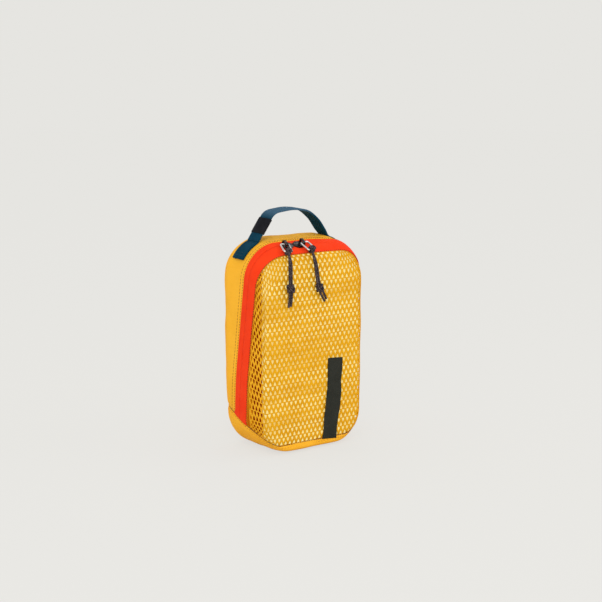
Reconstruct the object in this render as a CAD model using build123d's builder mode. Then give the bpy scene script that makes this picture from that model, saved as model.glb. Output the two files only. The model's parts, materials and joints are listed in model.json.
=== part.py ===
"""Small soft packing cube with a mesh lid, a zip round three sides and a webbing handle.

Units are millimetres. The cube stands on its base: +Z is up, +X is to the right, the mesh lid
faces -Y, and the origin is the middle of the base. The fabric panels are cut from one soft
form, a loft that leans back at the top and rounds in at the front, so that neighbouring panels
meet along their seams. The zip's two tapes meet on a plane that leans back towards the base.
"""

import os
from math import atan2, cos, degrees, pi, radians, sin, tan

from build123d import *

os.makedirs("parts", exist_ok=True)

# ---------------------------------------------------------------- driving dimensions
# Fabric body
body_width = 111.0
body_height = 184.0
body_depth = 63.0
top_corner_radius = 27.0
bottom_corner_radius = 28.0
fabric_wall = 1.2
seam_gap = 0.3

# Roundness of the form: it rolls in to the back seam, has a sloping shoulder at the top front
# that carries the zip, and a brow that turns down into the front
back_edge = 2.0
back_roll = 7.0
back_inset = 6.0
back_bottom_inset = 4.5
shoulder_run = 15.0
shoulder_drop = 7.5
brow_run = 6.5
brow_drop = 9.0
front_roll = 2.5
front_top_drop = 26.0
front_side_inset = 9.0
front_bottom_inset = 6.0

# Zip: how far its plane leans back, and each tape from its free edge to its seam
zip_lean = 9.0
tape_width = 8.0
woven_edge_width = 5.0
coil_width = 2.0
coil_height = 1.4
zip_parting = 0.3

# Seams and the hidden tapes that cover their raw edges
front_seam_height = 8.5
base_seam_slope = 24.0
binding_width = 7.0
binding_wall = 0.8
piping_width = 1.6
piping_proud = 0.5

# Sliders
slider_length = 11.0
slider_width = 9.0
slider_tail_share = 0.88
slider_plate_wall = 1.2
slider_corner = 1.4
channel_gap = 0.3
neck_width = 2.0
neck_length = 3.4
bail_offset = 3.2
bail_width = 2.4
bail_wall = 0.9
bail_height = 3.2
bail_span = 4.8
sliders_meet_at = -13.0
slider_meeting_gap = 0.6
left_slider_travel = 4.0
right_slider_travel = 28.0

# Puller loops
puller_width = 9.6
puller_length = 12.0
puller_wire = 1.7
puller_hang = 30.0
puller_skew = 12.0
puller_play = 0.4
puller_shift = 1.2

# Cords
cord_diameter = 2.0
knot_width = 6.4
knot_length = 7.6
knot_neck = 3.2

# Handle
webbing_width = 16.0
webbing_wall = 1.6
webbing_seat = 0.1
handle_place = 11.0
left_tab_angles = (30.0, 68.0)
right_tab_angles = (28.0, 60.0)
handle_rise = 25.5
handle_flex_top = 4.3
wrap_wall = 0.7
wrap_start = 8.0
wrap_length = 17.0

# Front label
label_width = 14.5
label_length = 71.0
label_wall = 0.6
label_place = 18.5
label_tilt = 4.5
label_lift = 1.0

# ---------------------------------------------------------------- worked-out places
half_width = body_width / 2
half_depth = body_depth / 2
front_roll_y = front_roll - half_depth
brow_y = front_roll_y + brow_run
shoulder_y = brow_y + shoulder_run
back_seam_y = half_depth - back_edge
back_roll_y = back_seam_y - back_roll

# Each station of the form: its place in depth, then how far the side, the top and the bottom
# lie inside the full outline there
stations = (
    (half_depth, back_inset, back_inset, back_bottom_inset),
    (back_seam_y, 0.4 * back_inset, 0.4 * back_inset, 0.4 * back_bottom_inset),
    (back_roll_y, 0.0, 0.0, 0.0),
    (shoulder_y, 0.0, 0.0, 0.0),
    (brow_y, 0.1 * front_side_inset, shoulder_drop, 0.05 * front_bottom_inset),
    (front_roll_y, 0.45 * front_side_inset, shoulder_drop + brow_drop, 0.33 * front_bottom_inset),
    (-half_depth, front_side_inset, front_top_drop, front_bottom_inset),
)

# The band of the zip lies on the shoulder: its middle, its outward normal and its slope
band_y = (shoulder_y + brow_y) / 2
band_z = body_height - shoulder_drop / 2
band_slope = degrees(atan2(shoulder_drop, shoulder_run))
band_out = (0, -sin(radians(band_slope)), cos(radians(band_slope)))

# Seam planes, each facing the side that a panel keeps
back_seam = Plane(origin=(0, back_seam_y, 0), z_dir=(0, 1, 0))
base_seam = Plane(
    origin=(0, -half_depth, front_seam_height),
    z_dir=(0, -sin(radians(base_seam_slope)), cos(radians(base_seam_slope))),
)
zip_seam = Plane(
    origin=(0, band_y, band_z),
    z_dir=(0, cos(radians(zip_lean)), sin(radians(zip_lean))),
)


def soft_form(inset):
    """The form of the stuffed cube, drawn in by inset all round."""
    depth_scale = (half_depth - inset) / half_depth
    with BuildPart() as form:
        for y, side, top, bottom in stations:
            low = bottom + inset
            high = body_height - top - inset
            with BuildSketch(Plane.XZ.offset(-y * depth_scale)) as outline:
                with Locations((0, (low + high) / 2)):
                    Rectangle(body_width - 2 * (side + inset), high - low)
                top_corners = outline.vertices().group_by(Axis.Y)[-1]
                fillet(top_corners, top_corner_radius - 0.4 * side - inset)
                bottom_corners = outline.vertices().group_by(Axis.Y)[0]
                fillet(bottom_corners, bottom_corner_radius - 0.4 * side - inset)
        loft(ruled=True)
    return form.part


def skin(outside, inside):
    """The layer of the form between two insets."""
    with BuildPart() as layer:
        add(soft_form(outside))
        add(soft_form(inside), mode=Mode.SUBTRACT)
    return layer.part


def keep_inside(*planes):
    """Trim the part being built to the side that each plane faces."""
    for plane in planes:
        split(bisect_by=plane, keep=Keep.TOP)


def finish(piece, name):
    """Label a finished piece and write its file."""
    piece.part.label = name
    export_step(piece.part, f"parts/{name}.step")


shell = skin(0, fabric_wall)
binding_layer = skin(fabric_wall, fabric_wall + binding_wall)
coil_layer = skin(fabric_wall, fabric_wall + coil_height)
piping_layer = skin(-piping_proud, 0)

above_base = base_seam
lid_foot = base_seam.offset(seam_gap)
body_edge = zip_seam.offset(zip_parting / 2)
lid_edge = -zip_seam.offset(-zip_parting / 2)

# ---------------------------------------------------------------- body panels
with BuildPart() as back_panel:
    add(shell)
    keep_inside(back_seam)
finish(back_panel, "back_panel")

with BuildPart() as upper_gusset:
    add(shell)
    keep_inside(-back_seam, above_base, zip_seam.offset(tape_width))
finish(upper_gusset, "upper_gusset")

with BuildPart() as base_gusset:
    add(shell)
    keep_inside(-back_seam, -base_seam)
finish(base_gusset, "base_gusset")

with BuildPart() as rear_piping:
    add(piping_layer)
    keep_inside(back_seam.offset(-piping_width / 2), -back_seam.offset(piping_width / 2))
finish(rear_piping, "rear_piping")

# ---------------------------------------------------------------- hidden seam bindings
binding_back = back_seam.offset(-binding_width)
with BuildPart() as rear_seam_binding:
    add(binding_layer)
    keep_inside(binding_back, -back_seam.offset(-binding_wall))
finish(rear_seam_binding, "rear_seam_binding")

with BuildPart() as base_seam_binding:
    add(binding_layer)
    keep_inside(-binding_back, base_seam.offset(-binding_width), -base_seam)
finish(base_seam_binding, "base_seam_binding")

with BuildPart() as body_seam_binding:
    add(binding_layer)
    keep_inside(
        above_base,
        zip_seam.offset(tape_width - binding_width / 3),
        -zip_seam.offset(tape_width + binding_width * 2 / 3),
        -binding_back,
    )
finish(body_seam_binding, "body_seam_binding")

with BuildPart() as lid_seam_binding:
    add(binding_layer)
    keep_inside(
        lid_foot,
        -zip_seam.offset(binding_width / 3 - tape_width),
        zip_seam.offset(-tape_width - binding_width * 2 / 3),
    )
finish(lid_seam_binding, "lid_seam_binding")

# ---------------------------------------------------------------- zip tapes and coils
band_plane = Plane(origin=(0, band_y, band_z), x_dir=(1, 0, 0), z_dir=band_out)
left_slider_x = sliders_meet_at - (slider_length + slider_meeting_gap) / 2
right_slider_x = sliders_meet_at + (slider_length + slider_meeting_gap) / 2

# The tapes stand apart where the sliders' necks pass between them
neck_path_low = left_slider_x - left_slider_travel - slider_length / 2
neck_path_high = right_slider_x + right_slider_travel + slider_length / 2
neck_path_width = neck_width + 2 * channel_gap
neck_path_depth = 4 * fabric_wall + 2 * coil_height


with BuildPart() as neck_path:
    with BuildSketch(band_plane):
        with Locations(((neck_path_low + neck_path_high) / 2, 0)):
            SlotOverall(neck_path_high - neck_path_low, neck_path_width)
    extrude(amount=neck_path_depth, both=True)

with BuildPart() as body_zip_tape:
    add(shell)
    keep_inside(
        above_base, zip_seam.offset(woven_edge_width), -zip_seam.offset(tape_width)
    )
finish(body_zip_tape, "body_zip_tape")

with BuildPart() as body_coil:
    add(coil_layer)
    keep_inside(above_base, body_edge, -zip_seam.offset(coil_width))

with BuildPart() as body_zip_edge:
    add(shell)
    keep_inside(above_base, body_edge, -zip_seam.offset(woven_edge_width))
    add(body_coil.part)
    add(neck_path.part, mode=Mode.SUBTRACT)
finish(body_zip_edge, "body_zip_edge")

with BuildPart() as lid_zip_tape:
    add(shell)
    keep_inside(lid_foot, lid_edge, zip_seam.offset(-tape_width))
    add(neck_path.part, mode=Mode.SUBTRACT)
finish(lid_zip_tape, "lid_zip_tape")

with BuildPart() as lid_zip_coil:
    add(coil_layer)
    keep_inside(lid_foot, lid_edge, zip_seam.offset(-coil_width))
    add(neck_path.part, mode=Mode.SUBTRACT)
finish(lid_zip_coil, "lid_zip_coil")

# ---------------------------------------------------------------- lid panels
with BuildPart() as mesh_panel:
    add(shell)
    keep_inside(lid_foot, -zip_seam.offset(-tape_width))
finish(mesh_panel, "mesh_panel")

with BuildPart() as front_label:
    with BuildSketch(Plane.XZ.offset(half_depth)):
        with Locations((label_place, front_seam_height + label_lift + label_length / 2)):
            Rectangle(label_width, label_length, rotation=-label_tilt)
    extrude(amount=label_wall)
finish(front_label, "front_label")

# ---------------------------------------------------------------- sliders
# A layer of the form lies deeper under the sloping band than it does under level fabric
slope = radians(band_slope)
deepening = cos(slope) + sin(slope) * (slider_width / 2 - band_y) / half_depth
coil_depth = (fabric_wall + coil_height) * deepening
plate_low = -(coil_depth + channel_gap + slider_plate_wall)

# The zip's plane isn't square to the band here, so the coil leans to one side in its passage
skew = radians(band_slope - zip_lean)
coil_reach = (coil_width + coil_depth * sin(skew)) / cos(skew)
passage_half = coil_reach + channel_gap


def plate_outline(nose):
    """Shield outline of a slider's plates; nose is the sense of X that the nose points in."""
    reach = slider_length / 2
    half = slider_width / 2
    with BuildSketch() as outline:
        with BuildLine():
            Polyline(
                (-nose * reach, -slider_tail_share * half),
                (-nose * reach, slider_tail_share * half),
                (nose * 0.25 * reach, half),
                (nose * reach, 0.5 * half),
                (nose * reach, -0.5 * half),
                (nose * 0.25 * reach, -half),
                close=True,
            )
        make_face()
        fillet(outline.vertices(), slider_corner)
    return outline.sketch


def build_slider(centre, nose):
    """One casting: plates, side flanges, neck between the tapes, and the bail on top."""
    middle = Plane(origin=band_plane.from_local_coords((centre, 0, 0)),
                   x_dir=(1, 0, 0), z_dir=band_out)
    bail_middle = Plane(
        origin=middle.from_local_coords((-nose * bail_offset, 0, channel_gap + slider_plate_wall)),
        x_dir=middle.y_dir, z_dir=(1, 0, 0),
    )
    with BuildPart() as slider:
        for low in (channel_gap, plate_low):
            with BuildSketch(middle.offset(low)):
                add(plate_outline(nose))
            extrude(amount=slider_plate_wall)
        with BuildSketch(middle.offset(plate_low + slider_plate_wall)):
            add(plate_outline(nose))
            Rectangle(2 * slider_length, 2 * passage_half, mode=Mode.SUBTRACT)
        extrude(amount=coil_height * deepening)
        with BuildSketch(middle.offset(plate_low + slider_plate_wall)):
            with Locations((nose * (slider_length / 2 - neck_length / 2 - channel_gap), 0)):
                SlotOverall(neck_length, neck_width)
        extrude(amount=-plate_low - slider_plate_wall + channel_gap)
        with BuildSketch(bail_middle) as bail:
            with Locations((0, (bail_height + bail_wall) / 2)):
                Rectangle(bail_span + 2 * bail_wall, bail_height + bail_wall)
            fillet(bail.vertices().group_by(Axis.Y)[-1], bail_wall + 0.6)
            with Locations((0, bail_height / 2)):
                Rectangle(bail_span, bail_height, mode=Mode.SUBTRACT)
        extrude(amount=bail_width / 2, both=True)
    return slider


left_slider = build_slider(left_slider_x, 1)
finish(left_slider, "left_slider")
right_slider = build_slider(right_slider_x, -1)
finish(right_slider, "right_slider")

# ---------------------------------------------------------------- puller loops
# The loop's upper bar rests in the lower front corner of the bail, which is its hinge
pin_across = -(bail_span / 2 - puller_play - puller_wire / 2)
pin_up = channel_gap + slider_plate_wall + bail_height - puller_play - puller_wire / 2
bar_spacing = puller_length - puller_wire
hang = radians(puller_hang)


def build_puller(centre, nose):
    """A loop of round wire, hung from its upper bar and turned a little away from the nose."""
    pin = band_plane.from_local_coords((centre - nose * bail_offset, pin_across, pin_up))
    turn = radians(-nose * puller_skew)
    face = Plane(
        origin=pin,
        x_dir=(cos(turn), sin(turn) * cos(hang), sin(turn) * sin(hang)),
        z_dir=(0, -sin(hang), cos(hang)),
    )
    with BuildSketch(face) as ring:
        with Locations((-nose * puller_shift, -bar_spacing / 2)):
            RectangleRounded(puller_width - puller_wire, bar_spacing, puller_wire)
    centreline = ring.sketch.face().outer_wire()
    with BuildPart() as puller:
        with BuildSketch(Plane(origin=centreline @ 0, z_dir=centreline % 0)):
            Circle(puller_wire / 2)
        sweep(path=centreline)
    print("pin at", pin, "along", face.x_dir)
    print("lower bar at", face.from_local_coords((-nose * puller_shift, -bar_spacing, 0)))
    return puller


left_puller = build_puller(left_slider_x, 1)
finish(left_puller, "left_puller")
right_puller = build_puller(right_slider_x, -1)
finish(right_puller, "right_puller")

# ---------------------------------------------------------------- cords
# Each cord is folded over the lower bar of its loop. Its front strand makes the fold and its
# back strand starts where the fold ends. Both run through the knot to their cut ends.
strand_side = 0.525 * cord_diameter


def smooth_radii(points):
    """As large an arc at each corner as its two runs allow."""
    radii = []
    for before, corner, after in zip(points, points[1:], points[2:]):
        run_in = Vector(*corner) - Vector(*before)
        run_out = Vector(*after) - Vector(*corner)
        turn = radians(run_in.get_angle(run_out))
        radii.append(0.45 * min(run_in.length, run_out.length) / tan(turn / 2))
    return radii


def build_strand(name, points):
    """A round cord along a chosen route."""
    radii = smooth_radii(points)
    print(name, "radii", [round(radius, 1) for radius in radii])
    with BuildPart() as strand:
        with BuildLine() as route:
            FilletPolyline(*points, radius=radii)
        with BuildSketch(Plane(origin=route.line @ 0, z_dir=route.line % 0)):
            Circle(cord_diameter / 2)
        sweep()
    section = pi * (cord_diameter / 2) ** 2
    length = sum(edge.length for edge in route.edges())
    print(name, "length", round(length, 1))
    print(name, "volume", round(strand.part.volume, 1), "against", round(section * length, 1))
    return strand


def build_knot(centre):
    """The outer form of an overhand knot tied in both strands."""
    with BuildPart() as knot:
        with BuildSketch(Plane.XZ):
            with BuildLine():
                Polyline(
                    (0, -knot_length / 2),
                    (knot_neck / 2, -knot_length / 2),
                    (0.9 * knot_width / 2, -knot_length / 5),
                    (knot_width / 2, 0),
                    (0.9 * knot_width / 2, knot_length / 5),
                    (knot_neck / 2, knot_length / 2),
                    (0, knot_length / 2),
                    close=True,
                )
            make_face()
        revolve(axis=Axis.Z)
    with BuildPart() as placed:
        with Locations(centre):
            add(knot.part)
    return placed


left_cord_front_route = (
    (-24.3, -25.75, 174.9), (-24.4, -23.15, 178.4), (-26.3, -26.65, 181.0), (-27.2, -31.3, 173.4),
    (-30.0, -35.0, 163.0), (-30.4, -35.6, 152.5), (-29.9, -35.2, 141.8), (-30.7, -34.2, 131.3),
)
left_cord_back_route = (
    (-24.3, -25.75, 174.9), (-25.2, -29.9, 169.2), (-27.6, -33.6, 159.5), (-28.4, -35.0, 149.5),
    (-27.6, -34.9, 140.0), (-28.4, -34.0, 131.9),
)
right_cord_front_route = (
    (0.35, -25.75, 174.9), (0.3, -23.15, 178.4), (-1.7, -26.65, 181.0), (-2.2, -31.3, 173.4),
    (-2.8, -35.0, 163.0), (-2.0, -35.6, 152.5), (0.9, -35.2, 141.8), (7.1, -34.4, 132.9),
)
right_cord_back_route = (
    (0.35, -25.75, 174.9), (0.2, -29.9, 169.2), (-0.1, -33.6, 159.5), (0.6, -35.0, 149.5),
    (4.6, -34.9, 141.8), (9.0, -34.1, 134.8),
)
left_knot_centre = (-29.2, -35.3, 147.8)
right_knot_centre = (1.3, -35.1, 145.4)

for name, points in (
    ("left_cord_front", left_cord_front_route),
    ("left_cord_back", left_cord_back_route),
    ("right_cord_front", right_cord_front_route),
    ("right_cord_back", right_cord_back_route),
):
    finish(build_strand(name, points), name)
finish(build_knot(left_knot_centre), "left_knot")
finish(build_knot(right_knot_centre), "right_knot")

# ---------------------------------------------------------------- handle
# The webbing's ends are sewn down on the shoulders of the gusset. Between them it rises as an
# arch; the part just above the body flexes, and the rest leans as one about the shoulders.
seat_radius = top_corner_radius + webbing_seat + webbing_wall / 2
corner_x = half_width - top_corner_radius
corner_z = body_height - top_corner_radius
webbing_plane = Plane.XZ.offset(-handle_place)
arch_z = body_height + handle_rise
flex_top = Plane(origin=(0, 0, body_height + handle_flex_top))


def on_shoulder(side, angle):
    """A point of the sewn webbing's middle, angle degrees up the left (-1) or right (1) corner."""
    return (
        side * (corner_x + seat_radius * cos(radians(angle))),
        corner_z + seat_radius * sin(radians(angle)),
    )


left_foot = on_shoulder(-1, left_tab_angles[1])
right_foot = on_shoulder(1, right_tab_angles[1])
arch_points = (
    left_foot,
    (0.5 * left_foot[0], arch_z - 2.0),
    (0.0, arch_z),
    (0.37 * right_foot[0], arch_z - 2.0),
    (0.66 * right_foot[0], arch_z - 11.0),
    right_foot,
)
arch_bends = (12.0, 50.0, 25.0, 40.0)


def webbing_strip(line, thickness, width):
    """A strip of the given thickness along a line in the handle's plane."""
    with BuildPart() as strip:
        with BuildSketch(webbing_plane):
            trace(line, thickness)
        extrude(amount=width / 2, both=True)
    return strip.part


with BuildLine() as arch_line:
    FilletPolyline(*arch_points, radius=arch_bends)
arch = webbing_strip(arch_line.line, webbing_wall, webbing_width)

for name, side, angles in (("left", -1, left_tab_angles), ("right", 1, right_tab_angles)):
    low, high = angles
    with BuildLine() as tab_line:
        ThreePointArc(
            on_shoulder(side, low), on_shoulder(side, (low + high) / 2), on_shoulder(side, high)
        )
    with BuildPart() as handle_end:
        add(webbing_strip(tab_line.line, webbing_wall, webbing_width))
    finish(handle_end, f"handle_end_{name}")

    foot_x, foot_z = on_shoulder(side, high)
    tab_end = Plane(
        origin=(foot_x, handle_place, foot_z),
        z_dir=(-side * sin(radians(high)), 0, cos(radians(high))),
    )
    with BuildPart() as handle_fold:
        add(arch)
        keep_inside(-flex_top, Plane(origin=(0, 0, 0), z_dir=(side, 0, 0)), tab_end)
    finish(handle_fold, f"handle_fold_{name}")

with BuildPart() as handle_strap:
    add(arch)
    keep_inside(flex_top.offset(seam_gap))
finish(handle_strap, "handle_strap")

foot = Vector(*arch_points[0])
leg = (Vector(*arch_points[1]) - foot).normalized()
with BuildLine() as wrap_line:
    Line(foot + leg * wrap_start, foot + leg * (wrap_start + wrap_length))
with BuildPart() as handle_wrap:
    add(webbing_strip(wrap_line.line, webbing_wall + 2 * wrap_wall, webbing_width + 2 * wrap_wall))
    add(arch, mode=Mode.SUBTRACT)
finish(handle_wrap, "handle_wrap")
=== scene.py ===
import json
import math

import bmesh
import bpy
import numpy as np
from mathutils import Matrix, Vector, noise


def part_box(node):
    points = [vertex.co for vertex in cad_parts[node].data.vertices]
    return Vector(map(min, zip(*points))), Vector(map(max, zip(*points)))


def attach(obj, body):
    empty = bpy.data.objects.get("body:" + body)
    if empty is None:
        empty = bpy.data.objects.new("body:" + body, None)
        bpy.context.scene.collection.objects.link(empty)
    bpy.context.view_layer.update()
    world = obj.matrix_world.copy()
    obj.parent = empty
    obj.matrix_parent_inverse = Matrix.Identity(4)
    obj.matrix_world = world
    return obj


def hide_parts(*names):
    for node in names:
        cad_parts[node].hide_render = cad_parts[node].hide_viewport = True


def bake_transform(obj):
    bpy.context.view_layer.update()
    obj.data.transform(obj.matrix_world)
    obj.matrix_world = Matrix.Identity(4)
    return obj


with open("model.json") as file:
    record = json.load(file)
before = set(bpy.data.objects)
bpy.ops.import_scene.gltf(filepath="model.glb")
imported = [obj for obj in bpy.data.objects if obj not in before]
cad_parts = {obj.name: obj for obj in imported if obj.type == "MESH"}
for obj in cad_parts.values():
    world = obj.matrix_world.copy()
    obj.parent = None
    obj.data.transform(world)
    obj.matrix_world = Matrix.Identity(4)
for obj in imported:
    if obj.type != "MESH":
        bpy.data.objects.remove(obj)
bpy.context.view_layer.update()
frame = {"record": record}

# %% [markdown]
# # A small packing cube
# A packing cube is a soft bag that keeps clothes together in a suitcase. This one stands on its
# base: yellow woven fabric behind, a lid of knitted mesh in front, and an orange zip between them
# that runs up one side, over the top and down the other. A webbing handle crosses the top.
# The solids that load as the frame hold the sizes and the motion. Here each soft one is replaced
# by cloth that is cut, sewn and finished like the real thing.

MM = 0.001

# %% [markdown]
# ## The form
# All the cloth lies on one stuffed form. Its outline, seen from the front, is a rectangle with
# round corners. The outline shrinks towards the back seam and towards the front, by a different
# amount at the sides, the top and the bottom. A spline through a few such sections makes the
# form smooth, so that every panel can be laid on it and neighbours meet along their seams.

# %% Sections of the form
half_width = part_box("upper_gusset")[1].x
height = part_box("upper_gusset")[1].z
back_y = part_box("back_panel")[1].y
front_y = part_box("mesh_panel")[0].y
top_radius = 27 * MM
bottom_radius = 28 * MM
LEFT_TOP_EXTRA, RIGHT_TOP_EXTRA = 3 * MM, -3 * MM
LEFT_SHARE = 0.35  # how much of the narrowing in front the left side takes
RADIUS_SHARE = 0.4  # corners tighten by this share of the narrowing
FACE_SLOPE = 10 * MM

# Each section: depth, then how far the side, the top and the bottom lie inside the full outline
sections = np.array([
    (back_y / MM, 6.0, 6.0, 4.5),
    (back_y / MM - 2.0, 2.4, 2.4, 1.8),
    (back_y / MM - 9.0, 0.0, 0.0, 0.0),
    (front_y / MM + 24.0, 0.0, 0.0, 0.0),
    (front_y / MM + 9.0, 0.9, 7.5, 1.0),
    (front_y / MM + 2.5, 4.05, 16.5, 2.8),
    (front_y / MM, 9.0, 26.0, 6.0),
]) * MM
BACK, BACK_SEAM, FULL, FRONT = 0.0, 1.0, 3.0, 6.0

# One more row past each end steers the spline there
before_back = sections[0] + (0.3 * MM, 14 * MM, 14 * MM, 14 * MM)
past_front = sections[-1] - (0.5 * MM, -10 * MM, -12 * MM, -10 * MM)
guides = np.vstack([before_back, sections, past_front])


def spline(a, b, c, d, f):
    """The point at share f of the way from b to c, on a smooth curve through all four."""
    return 0.5 * (2 * b + (c - a) * f + (2 * a - 5 * b + 4 * c - d) * f**2
                  + (3 * b - 3 * c + d - a) * f**3)


def section(t):
    """The form's section at t, from BACK to FRONT, by a spline through the given ones. Between
    the two full sections the sides run straight."""
    t = np.clip(np.asarray(t, float), BACK, FRONT)
    i = np.minimum(t.astype(int), int(FRONT) - 1)
    f = (t - i)[..., None]
    a, b, c, d = (guides[i + k] for k in range(4))
    straight = (i == 2)[..., None]
    return np.where(straight, b + (c - b) * f, spline(a, b, c, d, f))


def extents(t):
    """Depth, left, right, bottom and top of the section at t, and its lower and upper radius.
    The front of a stuffed bag leans a little to one side, so its left edge is drawn in less.
    Beyond FRONT the section keeps shrinking, on the face itself."""
    y, side, top, bottom = np.moveaxis(section(t), -1, 0)
    on_face = np.clip(np.asarray(t, float) - FRONT, 0, None) * FACE_SLOPE
    ahead = np.asarray(t, float) > FULL
    left = half_width - np.where(ahead, LEFT_SHARE, 1.0) * side
    return (y, -left + on_face, half_width - side - on_face, bottom + on_face,
            height - top - on_face, bottom_radius - RADIUS_SHARE * side - on_face,
            top_radius - RADIUS_SHARE * side - on_face)


print("depth of each section", (sections[:, 0] / MM).round(1).tolist(), "mm")

# %% [markdown]
# The outline at any depth follows from its section. Each of its four sides and four corners is
# one part of a single number u, so a pair (u, t) names a place anywhere on the form.

# %% The outline
SLIM_FROM, SLIM_OVER = 75 * MM, 70 * MM
SLIM_LEFT, SLIM_RIGHT = 3.2 * MM, 1.0 * MM


def sag(points):
    """The stuffing leaves the foot of the bag a little slimmer."""
    x, z = points[..., 0], points[..., 2]
    low = np.clip((SLIM_FROM - z) / SLIM_OVER, 0, 1)
    draw = np.where(x < 0, SLIM_LEFT, SLIM_RIGHT) * low**2 * (3 - 2 * low)
    points[..., 0] = x * (1 - draw / half_width)
    return points


def outline(u, t):
    """Points of the form. u goes once round the outline, from 0 to 8: bottom, corner, right
    side, corner, top, corner, left side and corner."""
    u, t = np.broadcast_arrays(np.asarray(u, float) % 8, np.asarray(t, float))
    y, left, right, low, high, r_low, r_high = extents(t)
    part = np.minimum(u.astype(int), 7)
    f = u - part
    turn = (part // 2 - 1 + f) * math.pi / 2
    lower = (part == 0) | (part == 1) | (part == 7)
    rightward = (part == 1) | (part == 3)
    top_left, top_right = r_high + LEFT_TOP_EXTRA, r_high + RIGHT_TOP_EXTRA
    core_left = left + np.where(lower, r_low, top_left)
    core_right = right - np.where(lower, r_low, top_right)
    r_high = np.where((part == 5) | (part == 6), top_left, top_right)
    radius = np.where(lower, r_low, r_high)
    corner_x = np.where(rightward, core_right, core_left) + radius * np.cos(turn)
    corner_z = np.where(lower, low + r_low, high - r_high) + radius * np.sin(turn)
    wall = high - r_high - low - r_low
    x = np.select(
        [part == 0, part == 2, part == 4, part == 6],
        [core_left + (core_right - core_left) * f, right,
         core_right + (core_left - core_right) * f, left], corner_x)
    z = np.select(
        [part == 0, part == 2, part == 4, part == 6],
        [low, low + r_low + wall * f, high, high - r_high - wall * f], corner_z)
    return sag(np.stack([x, y, z], -1))


print("form: foot, right and top", (outline([0.5, 2.5, 4.5], FULL) / MM).round(1).tolist())

# %% [markdown]
# ## Seams and relief
# Two planes divide the form. The base seam rises from the front foot towards the back, and the
# zip's plane leans back as it comes down. A plane is a place and a direction, so cloth can be
# cut along it with one bisect.

# %% Seam planes
hinge = next(j for j in frame["record"]["behaviour"]["joints"] if j["name"] == "lid_hinge")
seam_foot = Vector(hinge["pos_m"])
base_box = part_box("base_gusset")
base_slope = math.atan2(base_box[1].z - seam_foot.z, base_box[1].y - seam_foot.y)
base_up = Vector((0, -math.sin(base_slope), math.cos(base_slope)))

ZIP_LEAN = math.radians(9)
ZIP_SETBACK, ZIP_BELOW_TOP = 16.5 * MM, 3.75 * MM
zip_place = Vector((0, front_y + ZIP_SETBACK, height - ZIP_BELOW_TOP))
zip_back = Vector((0, math.cos(ZIP_LEAN), math.sin(ZIP_LEAN)))
BODY_TAPE_WIDTH, LID_TAPE_WIDTH = 8 * MM, 9.8 * MM
back_seam_y = back_y - 2 * MM


def above_base(points):
    """Height over the base seam's plane."""
    return (np.asarray(points) - seam_foot) @ np.array(base_up)


def behind_zip(points):
    """Distance behind the zip's plane, negative on the lid's side."""
    return (np.asarray(points) - zip_place) @ np.array(zip_back)


print("base seam slopes", round(math.degrees(base_slope), 1), "degrees")

# %% [markdown]
# Cloth dips where it is sewn and is never quite even, so one relief, worked out from the place
# alone, moves all the cloth along its normal. Panels that share a seam get the same relief
# there and stay closed. Heights of the relief are in millimetres.

# %% Relief of the woven cloth
BROAD_LUMPS, FINE_LUMPS = (30 * MM, 0.95, 3), (13 * MM, 0.3, 9)  # size, height and seed
BASE_DIP, BACK_DIP, STAND_OUT = 0.9, 0.7, 0.15
CALM_BY_ZIP = 7 * MM
SHOULDER_SAG = 2.2
SHOULDER_X, SHOULDER_REACH = 36 * MM, 16 * MM


def ripple(points, scale, seed):
    """Smooth noise from -1 to 1, with waves of the given size."""
    return np.array([noise.noise(Vector(p) / scale + Vector((seed, 0, 0))) for p in points])


def bell(distance, width):
    """1 at no distance, falling smoothly to nothing over about twice the width."""
    return np.exp(-((distance / width) ** 2))


def shoulder_drop(points):
    """How far the cloth sags at the right shoulder, in millimetres. It sags most at the zip,
    and less down the side, on the face and towards the back."""
    x, y, z = np.moveaxis(np.asarray(points), -1, 0)
    high = np.clip((z - height + 30 * MM) / (16 * MM), 0, 1)
    behind_face = np.clip((y - front_y - 3.5 * MM) / (13 * MM), 0.3, 1)
    before_back = 1 - np.clip((y + 5 * MM) / (25 * MM), 0, 1)
    return SHOULDER_SAG * bell(x - SHOULDER_X, SHOULDER_REACH) * high * behind_face * before_back


def body_relief(points):
    """How far the woven cloth stands out from the form: lumps that calm down near the zip, a
    dip along each seam, and the sagging shoulder."""
    points = np.asarray(points)
    d_base, d_back = above_base(points), points[:, 1] - back_seam_y
    d_zip = np.abs(behind_zip(points)) - BODY_TAPE_WIDTH
    calm = 1 - bell(d_zip, CALM_BY_ZIP)
    lumps = sum(tall * ripple(points, size, seed) for size, tall, seed in (
        BROAD_LUMPS, FINE_LUMPS))
    dip = -BASE_DIP * bell(d_base, 2.0 * MM) - BACK_DIP * bell(d_back, 1.8 * MM)
    return (lumps * calm + dip + STAND_OUT - shoulder_drop(points)) * MM


print("the shoulder sags", SHOULDER_SAG, "mm")

# %% [markdown]
# ## Cutting panels
# A strip of cloth round the form starts as a flat grid. Its columns go round the outline and its
# rows go from back to front; bisecting it along the seam planes cuts the panel out. The flat
# sheet's own measure, in metres, is kept as a UV map, so that a weave follows the cloth.

# %% Grids and measures
STEP = 2.2 * MM
MERGE = 1e-6


def flat_grid(columns, rows):
    """A bmesh of a flat grid that goes from -1 to 1 both ways."""
    bm = bmesh.new()
    bmesh.ops.create_grid(bm, x_segments=columns, y_segments=rows, size=1)
    return bm


def keep_measure(bm, flat):
    """Keep each corner's place on the flat cloth, as flat() gives it, in a UV map."""
    uv = bm.loops.layers.uv.new("cloth")
    for face in bm.faces:
        for loop in face.loops:
            loop[uv].uv = flat(loop.vert.co)


def flat_places(bm):
    """The x and the y of every vertex, as two arrays."""
    return np.array([v.co.xy for v in bm.verts]).T


def move_to(bm, places):
    """Put every vertex at its own new place."""
    for v, place in zip(bm.verts, places):
        v.co = place


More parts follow.
